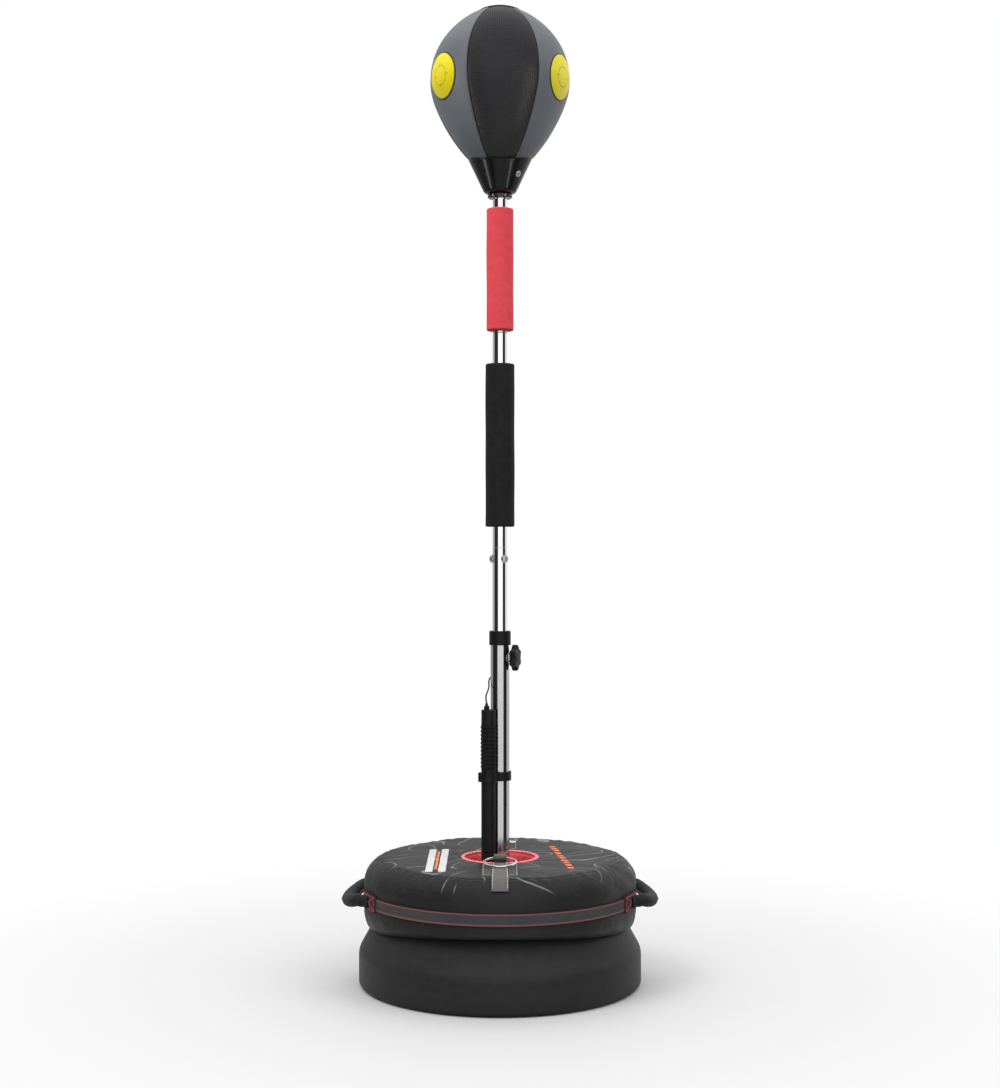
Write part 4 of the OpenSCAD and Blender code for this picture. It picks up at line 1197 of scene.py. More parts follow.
class REFLEX_OT_sandbag(Operator):
    """Ring sandbag of coated cloth with its sewn top panel, pleated lining and bound edge"""

    bl_idname = "reflex.sandbag"
    bl_label = "Ring sandbag"

    def execute(self, context):
        sizes = context.scene.reflex_sizes
        line = bag_line()
        a = around(int(sizes.segments * 1.5))
        grid = turned(line, angles=a)
        r, z = line[:, :1], line[:, 1:]
        top = ease((z - 150) / 40)
        # the edge that hangs over the rim slides along the drum's cone: lower at the sides than front and back
        share = np.clip((BAG["hang"] + BAG["foot"] - z) / BAG["foot"], 0, 1) * ease((r - 201) / 5)
        hang = -EDGE_SWING * np.cos(2 * a) * share
        inward = CONE_RUN * hang * np.where(r > BAG["out"] - BAG["foot"], share**2, 1)
        grid = grid + np.stack([-inward * np.cos(a), -inward * np.sin(a), hang], -1)
        # quiet zones: under the two tabs, the band, and the hole's wall
        x = r * np.cos(a)
        quiet = 1 - ease((34 - np.abs(x)) / 10) * (r > 60) * top
        quiet = quiet * (1 - bell(z - BAND_Z, 13) * (r > 200))
        edge = ease((r - 66) / 14) * ease((z - 104) / 10)
        # sewn line between the top panel and the side panel, with puckers that fade away from it
        sewn = np.hypot(r - 201.5, z - 208.6)
        pucker = np.sin(46 * a + 1.7 * np.sin(5 * a) + 0.9) + 0.6 * np.sin(71 * a + 2.2 * np.sin(3 * a))
        wave = np.sin(7 * a + 0.4 + r / 31) + 0.8 * np.sin(11 * a - r / 23 + 1.1) + 0.6 * np.sin(4 * a - z / 17)
        fold = np.sin(23 * a + z / 9 + 2 * np.sin(3 * a)) * bell(z - 183, 16) * (r > 190)
        low_fold = np.sin(31 * a + z / 8 + 2 * np.sin(4 * a)) * bell(z - 122, 12) * (r > 190)
        lift = (
            bell(r - 140, 60) * (z > 190)
            + 0.5 * wave
            + 0.55 * pucker * bell(sewn, 11)
            + 0.6 * fold
            + 0.45 * low_fold
        )
        lift = lift * quiet * edge * sizes.wrinkle / 0.0011 - 1.3 * bell(sewn, 1.6)
        bulge = 0.9 * (bell(z - 174, 11) + bell(z - 128, 11)) * (r > 200) * edge
        down = np.gradient(line, axis=0)
        out = unit(np.stack([down[:, 1], -down[:, 0]], -1))
        lift = lift + bulge
        grid = grid + np.stack(
            [lift * out[:, :1] * np.cos(a), lift * out[:, :1] * np.sin(a), lift * out[:, 1:]], -1
        )
        bag = Form().surface(grid, wrap=True, ring=True)
        piece = bag.make("ring_bag", "bag", "base", "bag_fabric", "sandbag", crease=60)

        # lining: gathered into pleats that open and close round the hole
        a = around(384)
        z = np.linspace(101, 204.5, 30)[:, None]
        fold = np.sin(33 * a + 1.6 * np.sin(5 * a) + 0.35 * np.sin(z / 9))
        fold = fold * (0.7 + 0.3 * np.sin(7 * a + z / 21))
        deep = sizes.pleat / MM * (0.25 + 0.75 * ease((z - 100) / 40))
        radius = 58.9 - deep * (0.5 + 0.5 * fold) * (1 - 0.5 * ease((z - 196) / 8))
        wall = np.stack([radius * np.cos(a), radius * np.sin(a), z + 0 * a], -1)
        lip_r, lip_z = np.array([[59.6, 206.4], [61.3, 208.4], [63.6, 209.4]]).T[:, :, None]
        lip = np.stack([lip_r * np.cos(a), lip_r * np.sin(a), lip_z + 0 * a], -1)
        lining = Form().surface(np.concatenate([wall, lip])[::-1], wrap=True)
        lining.make("lining_pleated", "lining", "base", "lining_fabric", "well_lining", crease=80, wall=-0.5)

        # binding: a rolled edge round the hole, laid over the bag's rim
        b = around(14)
        ring = np.stack([62.6 + 3.1 * np.cos(b), 210.4 + 1.9 * np.sin(b)], -1)
        roll = turned(ring, 256)
        turn = around(256)
        roll[..., 2] += 0.35 * np.sin(44 * turn)
        Form().surface(roll, wrap=True, ring=True).make("lining_binding", "binding", "base", "lining_fabric")
        return {"FINISHED"}


# ---------------------------------------------------------------------------------------------
# Band, patches, tabs, rings and handles
# ---------------------------------------------------------------------------------------------


def thread_row(form, path, out, pitch, size):
    """Lays grains of thread along a path at an even pitch, facing out."""
    path = np.asarray(path, float)
    run = runs(path)
    marks = np.arange(pitch / 2, run[-1], pitch)
    at = np.stack([np.interp(marks, run, path[:, k]) for k in range(3)], -1)
    way = np.stack([np.interp(marks, run, np.gradient(path[:, k], run)) for k in range(3)], -1)
    face = np.broadcast_to(out, path.shape)
    face = np.stack([np.interp(marks, run, face[:, k]) for k in range(3)], -1)
    return form.grains(at, way, face, size)


class REFLEX_OT_webbing(Operator):
    """Webbing band round the bag, box-stitched handle patches, ring tabs and their cloth patches"""

    bl_idname = "reflex.webbing"
    bl_label = "Band, patches and tabs"

    def execute(self, context):
        a = around(288)
        section = filled(eased(ring_box(230.1, 228.1, 140, 162), 0.7, 4), 3)
        band = turned(section, angles=a)
        band[..., 2] += 0.5 * np.sin(5 * a + 0.7) + 0.3 * np.sin(9 * a)
        Form().surface(band, wrap=True, ring=True).make(
            "bag_band_woven", "band", "base", "band_webbing", "bag_band", crease=60
        )

        patches, seams = Form(), Form()
        for middle in (-21.5, 21.5, 158.5, 201.5):
            s, t = np.linspace(-1, 1, 25)[:, None], np.linspace(-1, 1, 19)[None, :]
            angle = np.radians(middle + 7.2 * s) + 0 * t
            high = BAND_Z + PATCH_HALF * t + 0 * s
            rim = np.maximum(np.abs(s), np.abs(t))
            lift = 1.0 - 1.1 * ease((rim - 0.86) / 0.14) + 0.25 * np.cos(PI * s) * np.cos(PI * t)
            radius = 231.0 + lift

            def skin(r, angle=angle, high=high):
                return np.stack([r * np.cos(angle), r * np.sin(angle), high], -1)

            front = skin(radius)
            back = skin(230.25 + 0 * radius)
            sheet = np.concatenate([back[::-1], front]).transpose(1, 0, 2)[::-1]
            patches.surface(sheet, wrap=True)
            corners = np.array([(-1, -1), (1, -1), (1, 1), (-1, 1), (-1, -1), (1, 1)]) * [0.84, 0.78]
            cross = np.array([(1, -1), (-1, 1)]) * [0.84, 0.78]
            for strand in (corners, cross):
                strand = filled(strand, 0.05)
                angle2 = np.radians(middle + 7.2 * strand[:, 0])
                path = np.stack(
                    [232.35 * np.cos(angle2), 232.35 * np.sin(angle2), BAND_Z + PATCH_HALF * strand[:, 1]], -1
                )
                out = np.stack([np.cos(angle2), np.sin(angle2), 0 * angle2], -1)
                thread_row(seams, path, out, 3.4, (1.6, 0.8, 0.45))
        patches.make("handle_patches_cut", "patch", "base", "patch_webbing", "handle_patches", crease=50)
        seams.make("patch_stitches", "pink thread", "base")

        for side, name, node in ((-1, "front", "ring_tab_front"), (1, "rear", "ring_tab_rear")):
            reach = np.linspace(66, 222, 90)
            high = top_height(reach)
            line = np.stack([0 * reach, side * reach, high], -1)
            slope = unit(np.gradient(line, axis=0))
            out = np.stack([0 * reach, -slope[:, 2] * side, slope[:, 1] * side], -1)
            middle = line + out * 2.0
            path = middle if side > 0 else middle[::-1]
            up = out if side > 0 else out[::-1]
            width = np.linspace(24, 27, 90)[:, None, None]
            if side < 0:
                width = width[::-1]
            edge = eased([(-0.5, -0.5), (0.5, -0.5), (0.5, 0.5), (-0.5, 0.5)], 0.06, 4)[None]
            strap = edge * np.concatenate([width, 0 * width + 2.0], -1)
            along = unit(np.gradient(path, axis=0))
            across = unit(np.cross(up, along))
            grid = path[:, None] + strap[..., :1] * across[:, None] + strap[..., 1:] * up[:, None]
            tab = Form().surface(grid, wrap=True, first=True, last=True)
            # the loop that holds the ring: a sleeve whose axis runs across, on a short stem
            b = around(20)
            sleeve = np.stack([5.0 + 0.8 * np.cos(b), 0.8 * np.sin(b)], -1)
            x = np.linspace(-10, 10, 9)
            loop_z = RING_Z
            c = around(28)
            outer = np.stack([0 * c, 5.8 * np.cos(c), 5.8 * np.sin(c)], -1)
            inner = np.stack([0 * c, 4.3 * np.cos(c), 4.3 * np.sin(c)], -1)
            centre = np.array([0, side * RING_Y, loop_z])
            rows = [outer + [v, 0, 0] for v in x] + [inner + [v, 0, 0] for v in x[::-1]]
            tab.surface(np.array(rows) + centre, wrap=True, ring=True)
            foot = eased([(-1.6, -10), (1.6, -10), (1.6, 10), (-1.6, 10)], 0.5, 3)
            levels = (212.5, 214.5, 216.8)
            stem = [np.stack([foot[:, 1], foot[:, 0] + side * RING_Y, 0 * foot[:, 0] + v], -1) for v in levels]
            tab.surface(np.array(stem)[:, ::-1], wrap=True, first=True, last=True)
            tab.make(f"tab_{name}_sewn", "tab", "base", "tab_webbing", node, crease=45)
            thread = Form()
            for shift in (-1, 1):
                edge_path = line[2:-1] + out[2:-1] * 3.1
                level = 0 * reach[2:-1]
                edge_path = edge_path + shift * np.stack([np.linspace(10.6, 12.1, 87), level, level], -1)
                thread_row(thread, edge_path, out[2:-1], 3.2, (1.35, 0.55, 0.35))
            thread.make(f"tab_{name}_stitches", "pale thread", "base")
            # box of pink thread that fastens the loop, in the shape of a zigzag between two bars
            zig = np.array([(-9, 0), (-9, 8), (-3, 1.5), (3, 8), (9, 0), (9, 8)])
            y = side * (84 + zig[:, 1])
            marks = np.stack([zig[:, 0], y, top_height(np.abs(y)) + 3.1], -1)
            pink = thread_row(Form(), filled(marks, 0.5), (0, 0, 1), 2.2, (0.95, 0.5, 0.35))
            pink.make(f"tab_{name}_box_stitch", "pink thread", "base")

        cloth = Form()
        hem = Form()
        for side in (-1, 1):
            s, t = np.linspace(-30, 30, 31)[:, None], np.linspace(71, 176, 53)[None, :]
            rim = np.minimum(30 - np.abs(s), np.minimum(t - 71, 176 - t))
            lift = 0.15 + 0.75 * ease(rim / 1.4)
            sheet = np.stack([s + 0 * t, side * t + 0 * s, BAG["high"] + lift], -1)
            cloth.surface(sheet if side < 0 else sheet[::-1])
            box = filled([(-27.5, 73.5), (27.5, 73.5), (27.5, 173.5), (-27.5, 173.5), (-27.5, 73.5)], 1.0)
            rows = np.stack([box[:, 0], side * box[:, 1], 0 * box[:, 0] + 211.95], -1)
            thread_row(hem, rows, (0, 0, 1), 3.0, (1.2, 0.4, 0.3))
        cloth.make("tab_patches_cut", "tab cloth", "base", "tab_fabric", "tab_patches", wall=0.5)
        hem.make("tab_patch_stitches", "pale thread", "base")
        return {"FINISHED"}


class REFLEX_OT_rings(Operator):
    """Two plated wire rings in the tabs"""

    bl_idname = "reflex.rings"
    bl_label = "Wire rings"

    def execute(self, context):
        tilt = math.radians(6.3)
        for side, name, body in ((-1, "front", "ring_f"), (1, "rear", "ring_b")):
            a, b = around(96)[:, None], around(16)[None, :]
            radius = RING_R + WIRE_R * np.cos(b)
            across, along = radius * np.sin(a), RING_R - radius * np.cos(a)
            lift = WIRE_R * np.sin(b) + 0 * a
            y = along * math.cos(tilt) + lift * math.sin(tilt)
            z = -along * math.sin(tilt) + lift * math.cos(tilt)
            grid = np.stack([across, side * (RING_Y + y), RING_Z + z], -1)
            Form().surface(grid if side > 0 else grid[:, ::-1], wrap=True, ring=True).make(
                f"ring_{name}_plated", "chrome", body, "ring_steel", f"ring_{name}"
            )
        return {"FINISHED"}


class REFLEX_OT_handles(Operator):
    """Two padded cloth handles, flat where they are sewn on and round in the middle"""

    bl_idname = "reflex.handles"
    bl_label = "Padded handles"

    def execute(self, context):
        hinge, droop = HANDLE_HINGE, math.radians(25)
        for side, name, body in ((-1, "handle_left", "handle_l"), (1, "handle_right", "handle_r")):
            a = np.radians(np.linspace(-53, 53, 121))
            x, y = 154 + 103.5 * np.cos(a), 103.5 * np.sin(a)
            past = x - hinge
            bend = droop * ease((past + 8) / 16)
            path = np.stack([hinge + past * np.cos(bend), y, BAND_Z - past * np.sin(bend)], -1)
            flat = ease((np.abs(np.degrees(a)) - 33) / 18)
            c = around(40)
            ripple = 0.35 * np.sin(46 * a[:, None] + 2 * np.sin(c)) * (0.4 + flat[:, None])
            thick = 21.6 * (1 - 0.62 * flat)[:, None]
            tall = 21.6 * (1 - 0.06 * flat)[:, None]
            seam = 0.9 * bell(np.angle(np.exp(1j * (c - PI))), 0.12)
            wide = np.stack([(thick / 2 + ripple + seam) * np.cos(c), (tall / 2 + ripple) * np.sin(c)], -1)
            grid = swept(path, wide)
            if side < 0:
                grid = (grid * [-1, 1, 1])[:, ::-1]
            pad = Form().surface(grid, wrap=True, first=True, last=True)
            ends = (body, (side * 0.2275, 0, 0.151), (side * 0.2435, 0, 0.151))
            piece = pad.make(f"{name}_padded", "handle", ("base", *ends), "handle_fabric", name, crease=60)
            thread = Form()
            row = path - np.stack([np.cos(a), np.sin(a), 0 * a], -1) * (10.8 * (1 - 0.62 * flat[:, None]) + 0.9)
            row = row[18:-18] * [side, 1, 1]
            inward = -np.stack([side * np.cos(a), np.sin(a), 0 * a], -1)[18:-18]
            thread_row(thread, row, inward, 3.4, (1.3, 0.5, 0.4))
            thread.make(f"{name}_stitches", "pale thread", ("base", *ends))
        return {"FINISHED"}


# ---------------------------------------------------------------------------------------------
# Pole
# ---------------------------------------------------------------------------------------------


def pipe(name, finish, body, slot, node, outer, inner, low, high, edge=0.5, count=96):
    """A round tube with eased ends."""
    section = eased(ring_box(outer, inner, low, high), min(edge, (outer - inner) * 0.45), 4)
    return Form().surface(turned(section, count), wrap=True, ring=True).make(name, finish, body, slot, node)


class REFLEX_OT_pole(Operator):
    """Foot, lower, middle, upper and top tubes, collar, bush and joint screws"""

    bl_idname = "reflex.pole"
    bl_label = "Pole"

    def execute(self, context):
        foot = Form()
        section = [(11.9, 100.05), (50, 100.05), (50, 105), (20, 105), (14.4, 107.5), (14.4, 185), (11.9, 185)]
        section = eased(section, 0.9, 4)
        foot.surface(turned(section, 96), wrap=True, ring=True)
        foot.make("foot_flange", "foot", "base", "foot_steel", "pole_foot")
        for node in ("foot_bolts", "anchor_bolt", "anchor_nut"):
            softened(node, "bolt", 0.35)
        pipe("tube_lower", "zinc", "base", "lower_steel", "lower_tube", 16, 14.5, 105.1, 588)
        collar = Form()
        section = [(16.15, 568.5), (18.25, 568.5), (18.25, 592.5), (13.1, 592.5), (13.1, 588.6), (16.15, 588.4)]
        section = eased(section, [0.3, 1.6, 1.9, 0.5, 0.2, 0.2], 6)
        collar.surface(turned(section, 96), wrap=True, ring=True)
        collar.make("collar_turned", "nylon", "base", "collar_plastic", "tube_collar")
        pipe("tube_middle", "chrome", "mast", "upper_chrome", "mid_tube", 12.7, 11.2, 300, 733, 0.6)
        pipe("bush_turned", "nylon", "mast", "bush_plastic", "glide_bush", 14.45, 12.72, 300, 320, 0.6, 64)
        upper = Form()
        section = [(9.7, 663), (11.1, 663), (11.1, 733.1), (12.45, 733.1), (12.45, 1094.5), (9.7, 1094.5)]
        section = eased(section, 0.5, 4)
        upper.surface(turned(section, 96), wrap=True, ring=True)
        upper.make("tube_upper", "chrome", "mast", "upper_chrome", "upper_tube")
        pipe("tube_top", "chrome", "ball", "upper_chrome", "top_tube", 12.45, 10.9, 1262.05, 1349, 0.5, 64)
        screws = Form()
        dome = [(0.3, 10.2), (3.4, 10.2), (3.4, 12.6), (7.0, 12.72), (7.1, 13.7), (5.6, 16.4)]
        dome += [(3.1, 17.75), (2.0, 17.75), (1.9, 15.4), (0.3, 15.4)]
        dome = eased(dome, 0.5, 4, False)
        for turn in (37, -85, 157):
            way = (math.sin(math.radians(turn)), -math.cos(math.radians(turn)), 0)
            screws.surface(carried(turned(dome, 36), (0, 0, 714), way), wrap=True, first=True, last=True)
        screws.make("screws_domed", "bolt", "mast", "fastener_steel", "joint_screws")
        return {"FINISHED"}


LOCK_WAY = np.array([math.cos(math.radians(16)), -math.sin(math.radians(16)), 0])


class REFLEX_OT_lock(Operator):
    """Height lock: welded boss, swivel tip, threaded stud and lobed knob"""

    bl_idname = "reflex.lock"
    bl_label = "Height lock"

    def execute(self, context):
        at = (0, 0, 547.3)
        boss = eased([(4.1, 13.9), (9.4, 14.6), (8, 16.4), (8, 19.4), (4.1, 19.4)], 0.5, 4)
        Form().surface(carried(turned(boss, 48), at, LOCK_WAY), wrap=True, ring=True).make(
            "boss_welded", "zinc", "base", "boss_steel", "lock_boss"
        )
        tip = eased([(0.2, 12.75), (3.2, 12.75), (3.5, 13.3), (3.5, 15.65), (0.2, 15.65)], 0.3, 4, False)
        Form().surface(carried(turned(tip, 32), at, LOCK_WAY), wrap=True, first=True, last=True).make(
            "tip_swivel", "brass", "lock_slide", "tip_brass", "lock_tip"
        )
        # threaded stud: the radius follows a sharp wave of angle minus height
        c = around(32)
        h = np.linspace(15.75, 29.2, 72)[:, None]
        wave = np.abs(((h / 1.25 - c / (2 * PI)) % 1) - 0.5) * 2
        radius = 3.9 - 0.55 * wave
        stud = np.stack([radius * np.cos(c), radius * np.sin(c), h + 0 * c], -1)
        Form().surface(carried(stud, at, LOCK_WAY), wrap=True, first=True, last=True).make(
            "stud_threaded", "bolt", "knob", "fastener_steel", "lock_stud", crease=60
        )
        # knob: six lobes that fade into a round hub on both faces
        c = around(144)
        lobed = 22 - 4.6 * (0.5 - 0.5 * np.cos(6 * c)) ** 0.8
        rows = np.array(
            [
                (4.2, 0, 19.7), (7.6, 0, 19.6), (9, 0, 20.6), (12, 0.4, 21.2), (0, -2.2, 21.4), (0, -0.6, 22.0),
                (0, 0, 23.4), (0, 0, 26.5), (0, 0, 29.4), (0, -0.5, 30.9), (0, -1.8, 31.9), (0, -3.6, 32.2),
                (12.5, 0.3, 31.6), (10.5, 0, 31.0), (8.8, 0, 31.4), (7.6, 0, 32.2), (3, 0, 32.3),
            ]
        )  # fmt: skip
        plain, share, high = rows.T[:, :, None]
        radius = np.where(plain > 0, plain * (1 - share) + (lobed - 7) * share, lobed + share)
        knob = np.stack([radius * np.cos(c), radius * np.sin(c), high + 0 * c], -1)
        n = LOCK_WAY
        x = np.array([0, 0, 1.0])
        knob = knob @ np.stack([x, np.cross(n, x), n]) + np.array(at)
        Form().surface(knob, wrap=True, first=True, last=True).make(
            "knob_lobed", "nylon", "knob", "knob_plastic", "lock_knob", crease=50
        )
        return {"FINISHED"}


class REFLEX_OT_sleeves(Operator):
    """Black and red foam sleeves, the hidden coil spring and its end plugs"""

    bl_idname = "reflex.sleeves"
    bl_label = "Foam sleeves and spring"

    def execute(self, context):
        def sleeve(name, finish, body, node, outer, inner, low, high, ends):
            section = eased(ring_box(outer, inner, low, high), [ends[0], ends[1], 0.6, 0.6], 7)
            grid = turned(filled(section, 6), 96)
            z, a = grid[..., 2], around(96)
            swell = 0.18 * np.sin(z / 19 + 2 * np.sin(a)) + 0.14 * np.sin(3 * a + z / 41)
            out = np.clip((np.hypot(grid[..., 0], grid[..., 1]) - inner) / (outer - inner), 0, 1)
            grid = grid + (swell * out)[..., None] * np.stack([np.cos(a), np.sin(a), 0 * a], -1)
            return Form().surface(grid, wrap=True, ring=True).make(name, finish, body, node, node, crease=50)

        black = sleeve("sleeve_black", "foam black", "mast", "foam_black", 24.5, 12.7, 768, 1043, (3, 3))
        # each half's start and end lie close under its hinge
        lower = ("mast", "spring", (0, 0, 1.146), (0, 0, 1.199))
        upper = ("spring", "ball", (0, 0, 1.2165), (0, 0, 1.280))
        halves = (
            ("lower", lower, 1099, 1200.1, (3, 0.0)),
            ("upper", upper, 1199.9, 1305, (0.0, 3)),
        )
        for name, body, low, high, ends in halves:
            part = sleeve(f"sleeve_red_{name}", "foam red", body, "foam_red", 22.7, 12.8, low, high, ends)
        turns = np.linspace(0, 1, 561)
        a = 2 * PI * 14 * turns
        pitch = 1124.5 + 121 * (turns + 0.012 * np.sin(2 * PI * turns))
        coil = np.stack([10.2 * np.cos(a), 10.2 * np.sin(a), pitch], -1)
        grid = swept(coil, oval(4.2, 4.2, 12))
        half = len(grid) // 2
        for name, body, part in (("lower", lower, grid[: half + 1]), ("upper", upper, grid[half:])):
            Form().surface(part, wrap=True, first=True, last=True).make(
                f"spring_{name}", "spring", body, "spring_steel", "spring_coil"
            )
        plug = [(0.3, 1064.7), (8.9, 1064.7), (9.4, 1066), (9.4, 1094.7), (12.45, 1094.7)]
        plug += [(12.45, 1122.1), (7.8, 1122.1), (7.8, 1142), (6.4, 1144.2), (0.3, 1144.2)]
        plug = eased(plug, 0.6, 4, False)
        Form().surface(turned(plug, 64), wrap=True, first=True, last=True).make(
            "plug_lower", "rod", "mast", "spring_steel", "spring_plug_lower"
        )
        softened("spring_plug_upper", "rod", 0.4)
        return {"FINISHED"}


# ---------------------------------------------------------------------------------------------
# Ball
# ---------------------------------------------------------------------------------------------

BALL_R, BALL_Z, BALL_UP, BALL_TURN = 117.5, 1518.0, 127.0, 2.8


def ball_radius(height):
    """Plain radius of the ball at a height: a half ellipse above the widest line, drawn in towards the top, and
    below it a cosine that narrows to the cup."""
    up, down = np.clip(height - BALL_Z, 0, BALL_UP), np.clip(BALL_Z - height, 0, None)
    top = np.sqrt(1 - (up / BALL_UP) ** 2) * (1 - 0.17 * (up / BALL_UP) ** 3.4)
    low = np.cos(np.radians(0.487 * down)) * (1 - 0.022 * np.sin(PI * down / 130) ** 2)
    return BALL_R * np.where(height > BALL_Z, top, low)


def ball_skin(turn, height, puff, seam):
    """Radius of the ball's skin at an angle from the front in degrees: the plain radius, a little fuller in the
    middle of each of six panels and sunk at its two seams. Gives the radius and the distance to the seam."""
    share = ((turn - BALL_TURN + 30) % 60 - 30) / 30
    plain = ball_radius(height)
    away = (1 - np.abs(share)) * plain * PI / 6
    return plain + puff * (1 - share**2) - seam * bell(away, 2.0), away


def on_ball(turn, radius, height):
    """A point at an angle from the front, with positive angles towards +X."""
    a = np.radians(turn)
    return np.stack([radius * np.sin(a), -radius * np.cos(a), height + 0 * a], -1)


class REFLEX_OT_ball(Operator):
    """Teardrop ball: six sewn panels, yellow discs, top patch and knob, cup, ferrule, valve and hub"""

    bl_idname = "reflex.ball"
    bl_label = "Ball"

    def execute(self, context):
        sizes = context.scene.reflex_sizes
        puff, seam = sizes.puff / MM, sizes.seam / MM
        rise = BALL_Z + BALL_UP * np.sin(np.radians(np.linspace(0, 87, 46)))
        height = np.concatenate([np.linspace(1374, BALL_Z, 46)[:-1], rise])[:, None]
        share = np.sin(np.linspace(-PI / 2, PI / 2, 45))
        forms = {0: Form(), 1: Form()}
        for k in range(6):
            turn = BALL_TURN + 60 * k + 30 * share
            # the two edge columns turn in, as the leather does where it is sewn
            radius, away = ball_skin(BALL_TURN + 60 * k + 29.999 * share, height, puff, seam)
            radius = radius - 1.6 * ease((1396 - height) / 9)
            grid = on_ball(turn, radius, height)
            across = 30 * share / 30 * PI / 6 * ball_radius(height)
            along = runs(np.stack([ball_radius(height[:, 0]), height[:, 0]], -1))[:, None]
            uv = np.stack([across, along + 0 * across], -1)
            forms[k % 2].surface(grid, uv=uv, mark=away * MM)
        forms[0].make(
            "panels_dotted", "dotted", "ball", "ball_black", "ball_panels_black", crease=60, wall=1.6
        )
        forms[1].make(
            "panels_smooth", "grey leather", "ball", "ball_grey", "ball_panels_grey", crease=60, wall=1.6
        )

        # sewing thread sunk in the seams
        thread = Form()
        line = np.concatenate([np.linspace(1392, BALL_Z, 60)[:-1], rise[:-10]])
        for k in range(6):
            turn = BALL_TURN + 30 + 60 * k
            radius = ball_radius(line) - seam + 0.25
            path = on_ball(turn + 0 * line, radius, line)
            thread_row(thread, path, on_ball(turn + 0 * line, 1.0, 0 * line), 4.2, (1.5, 0.45, 0.4))
        thread.make("seam_threads", "nylon", "ball")

        targets = Form()
        c = around(72)
        rho = np.array([0.5, 12, 26, 36, 38.6, 39.0, 38.9, 38.2, 36.5, 30, 22, 14, 7, 0.5])[:, None]
        lift = np.array([-0.2, -0.2, -0.2, -0.2, -0.2, 0.2, 0.5, 0.65, 0.7, 0.7, 0.7, 0.7, 0.7, 0.7])[:, None]
        for turn in (62.8, 182.8, -57.2):
            s, t = rho * np.cos(c), rho * np.sin(c)
            z = 1514 + t
            angle = turn + np.degrees(s / ball_radius(np.array(1514.0)))
            radius, _ = ball_skin(angle, z, puff, seam)
            grid = on_ball(angle, radius + lift, z)
            closed = np.concatenate([s, s[:, :1]], 1), np.concatenate([t, t[:, :1]], 1)
            targets.surface(grid, wrap=True, first=True, last=True, uv=np.stack(closed, -1))
        targets.make("discs_sewn", "yellow disc", "ball", "target_yellow", "target_discs", crease=60)

        # top patch: a disc laid over the pole, pulled into six shallow scallops by the seams under it
        z = BALL_Z + BALL_UP * np.sin(np.radians(np.linspace(90, 50, 200)))
        meridian = np.stack([ball_radius(z), z], -1)
        meridian[0, 0] = 0
        run = runs(meridian)
        c = around(96)
        k = np.array([0.02, 0.3, 0.6, 0.9, 0.97, 1.0, 0.99, 0.95, 0.8, 0.6, 0.4, 0.2, 0.02])[:, None]
        lift = np.array([0, 0, 0, 0, 0.1, 0.7, 1.2, 1.5, 1.6, 1.6, 1.6, 1.6, 1.6])[:, None]
        reach = k * (38 + 1.0 * np.cos(6 * (c - math.radians(BALL_TURN))))
        slope = unit(np.gradient(meridian, axis=0))
        out = np.stack([-slope[:, 1], slope[:, 0]], -1)
        r = np.interp(reach, run, meridian[:, 0]) + lift * np.interp(reach, run, out[:, 0])
        h = np.interp(reach, run, meridian[:, 1]) + lift * np.interp(reach, run, out[:, 1])
        patch = np.stack([r * np.cos(c), r * np.sin(c), h], -1)
        Form().surface(patch, wrap=True, first=True, last=True).make(
            "patch_top", "ball patch", "ball", "ball_black", "ball_top_patch", crease=60
        )
        nub = [(0.3, 1645.6), (8.2, 1645.4), (8.6, 1646.3), (6.2, 1646.9), (5.6, 1648.0), (0.3, 1648.25)]
        nub = eased(nub, 0.6, 5, False)
        Form().surface(turned(nub, 48), wrap=True, first=True, last=True).make(
            "nub_top", "nylon", "ball", "nub_plastic", "ball_top_nub"
        )

        rim = float(ball_radius(np.array(1388.0)))
        cup = eased(
            [
                (14, 1330.1), (21.8, 1330.1), (27.0, 1332.4), (rim + 0.2, 1386.9), (rim - 0.1, 1388.4),
                (rim - 1.5, 1388.0), (float(ball_radius(np.array(1379.0))) - 4.4, 1372), (26, 1340), (14, 1334),
            ],
            [0.5, 1.2, 4, 0.6, 0.6, 0.4, 3, 4, 1], 7,
        )  # fmt: skip
        cup = turned(filled(cup, 4), 160)
        # the rim dips at the front and back: points slide down the cup's own slope, more towards the rim
        a = around(160)
        dip = 8.5 * np.sin(a) ** 2 * ease((cup[..., 2] - 1338) / 50)
        cup[..., :2] *= (1 - dip * 0.462 / np.hypot(cup[..., 0], cup[..., 1]))[..., None]
        cup[..., 2] -= dip
        Form().surface(cup, wrap=True, ring=True).make(
            "cup_moulded", "cup", "ball", "cup_rubber", "ball_cup", crease=50
        )
        ferrule = [(13, 1321.9), (18.4, 1321.9), (20.9, 1323.6), (20.9, 1328.4), (18.6, 1330), (13, 1330)]
        ferrule = eased(ferrule, [0.4, 1.6, 1.6, 1.6, 1.0, 0.4], 6)
        Form().surface(turned(ferrule, 96), wrap=True, ring=True).make(
            "ferrule_turned", "ferrule", "ball", "ferrule_plastic", "ball_ferrule"
        )
        spot, way = on_ball(np.array(50.5), 39.3, np.array(1359.0)), (0.698, -0.576, -0.426)
        button = eased([(1.2, -1.5), (5.5, -1.5), (5.5, 0.6), (4.7, 1.1), (2.6, 1.1), (1.3, 0.2)], 0.4, 5)
        valve = Form().surface(carried(turned(button, 40), spot, way), wrap=True, ring=True)
        # painted shade: the valve's hole is a flush grey plug
        hole = [(0.1, -1.3), (1.35, -1.3), (1.35, 0.1), (0.1, -0.1)]
        valve.surface(carried(turned(hole, 24), spot, way), wrap=True, first=True, last=True, finish=1)
        valve.make("valve_button", ["valve", "painted valve hole"], "ball", "valve_rubber", "air_valve")
        softened("ball_hub", "wood", 0.6)
        softened("hub_pin", "bolt", 0.3)
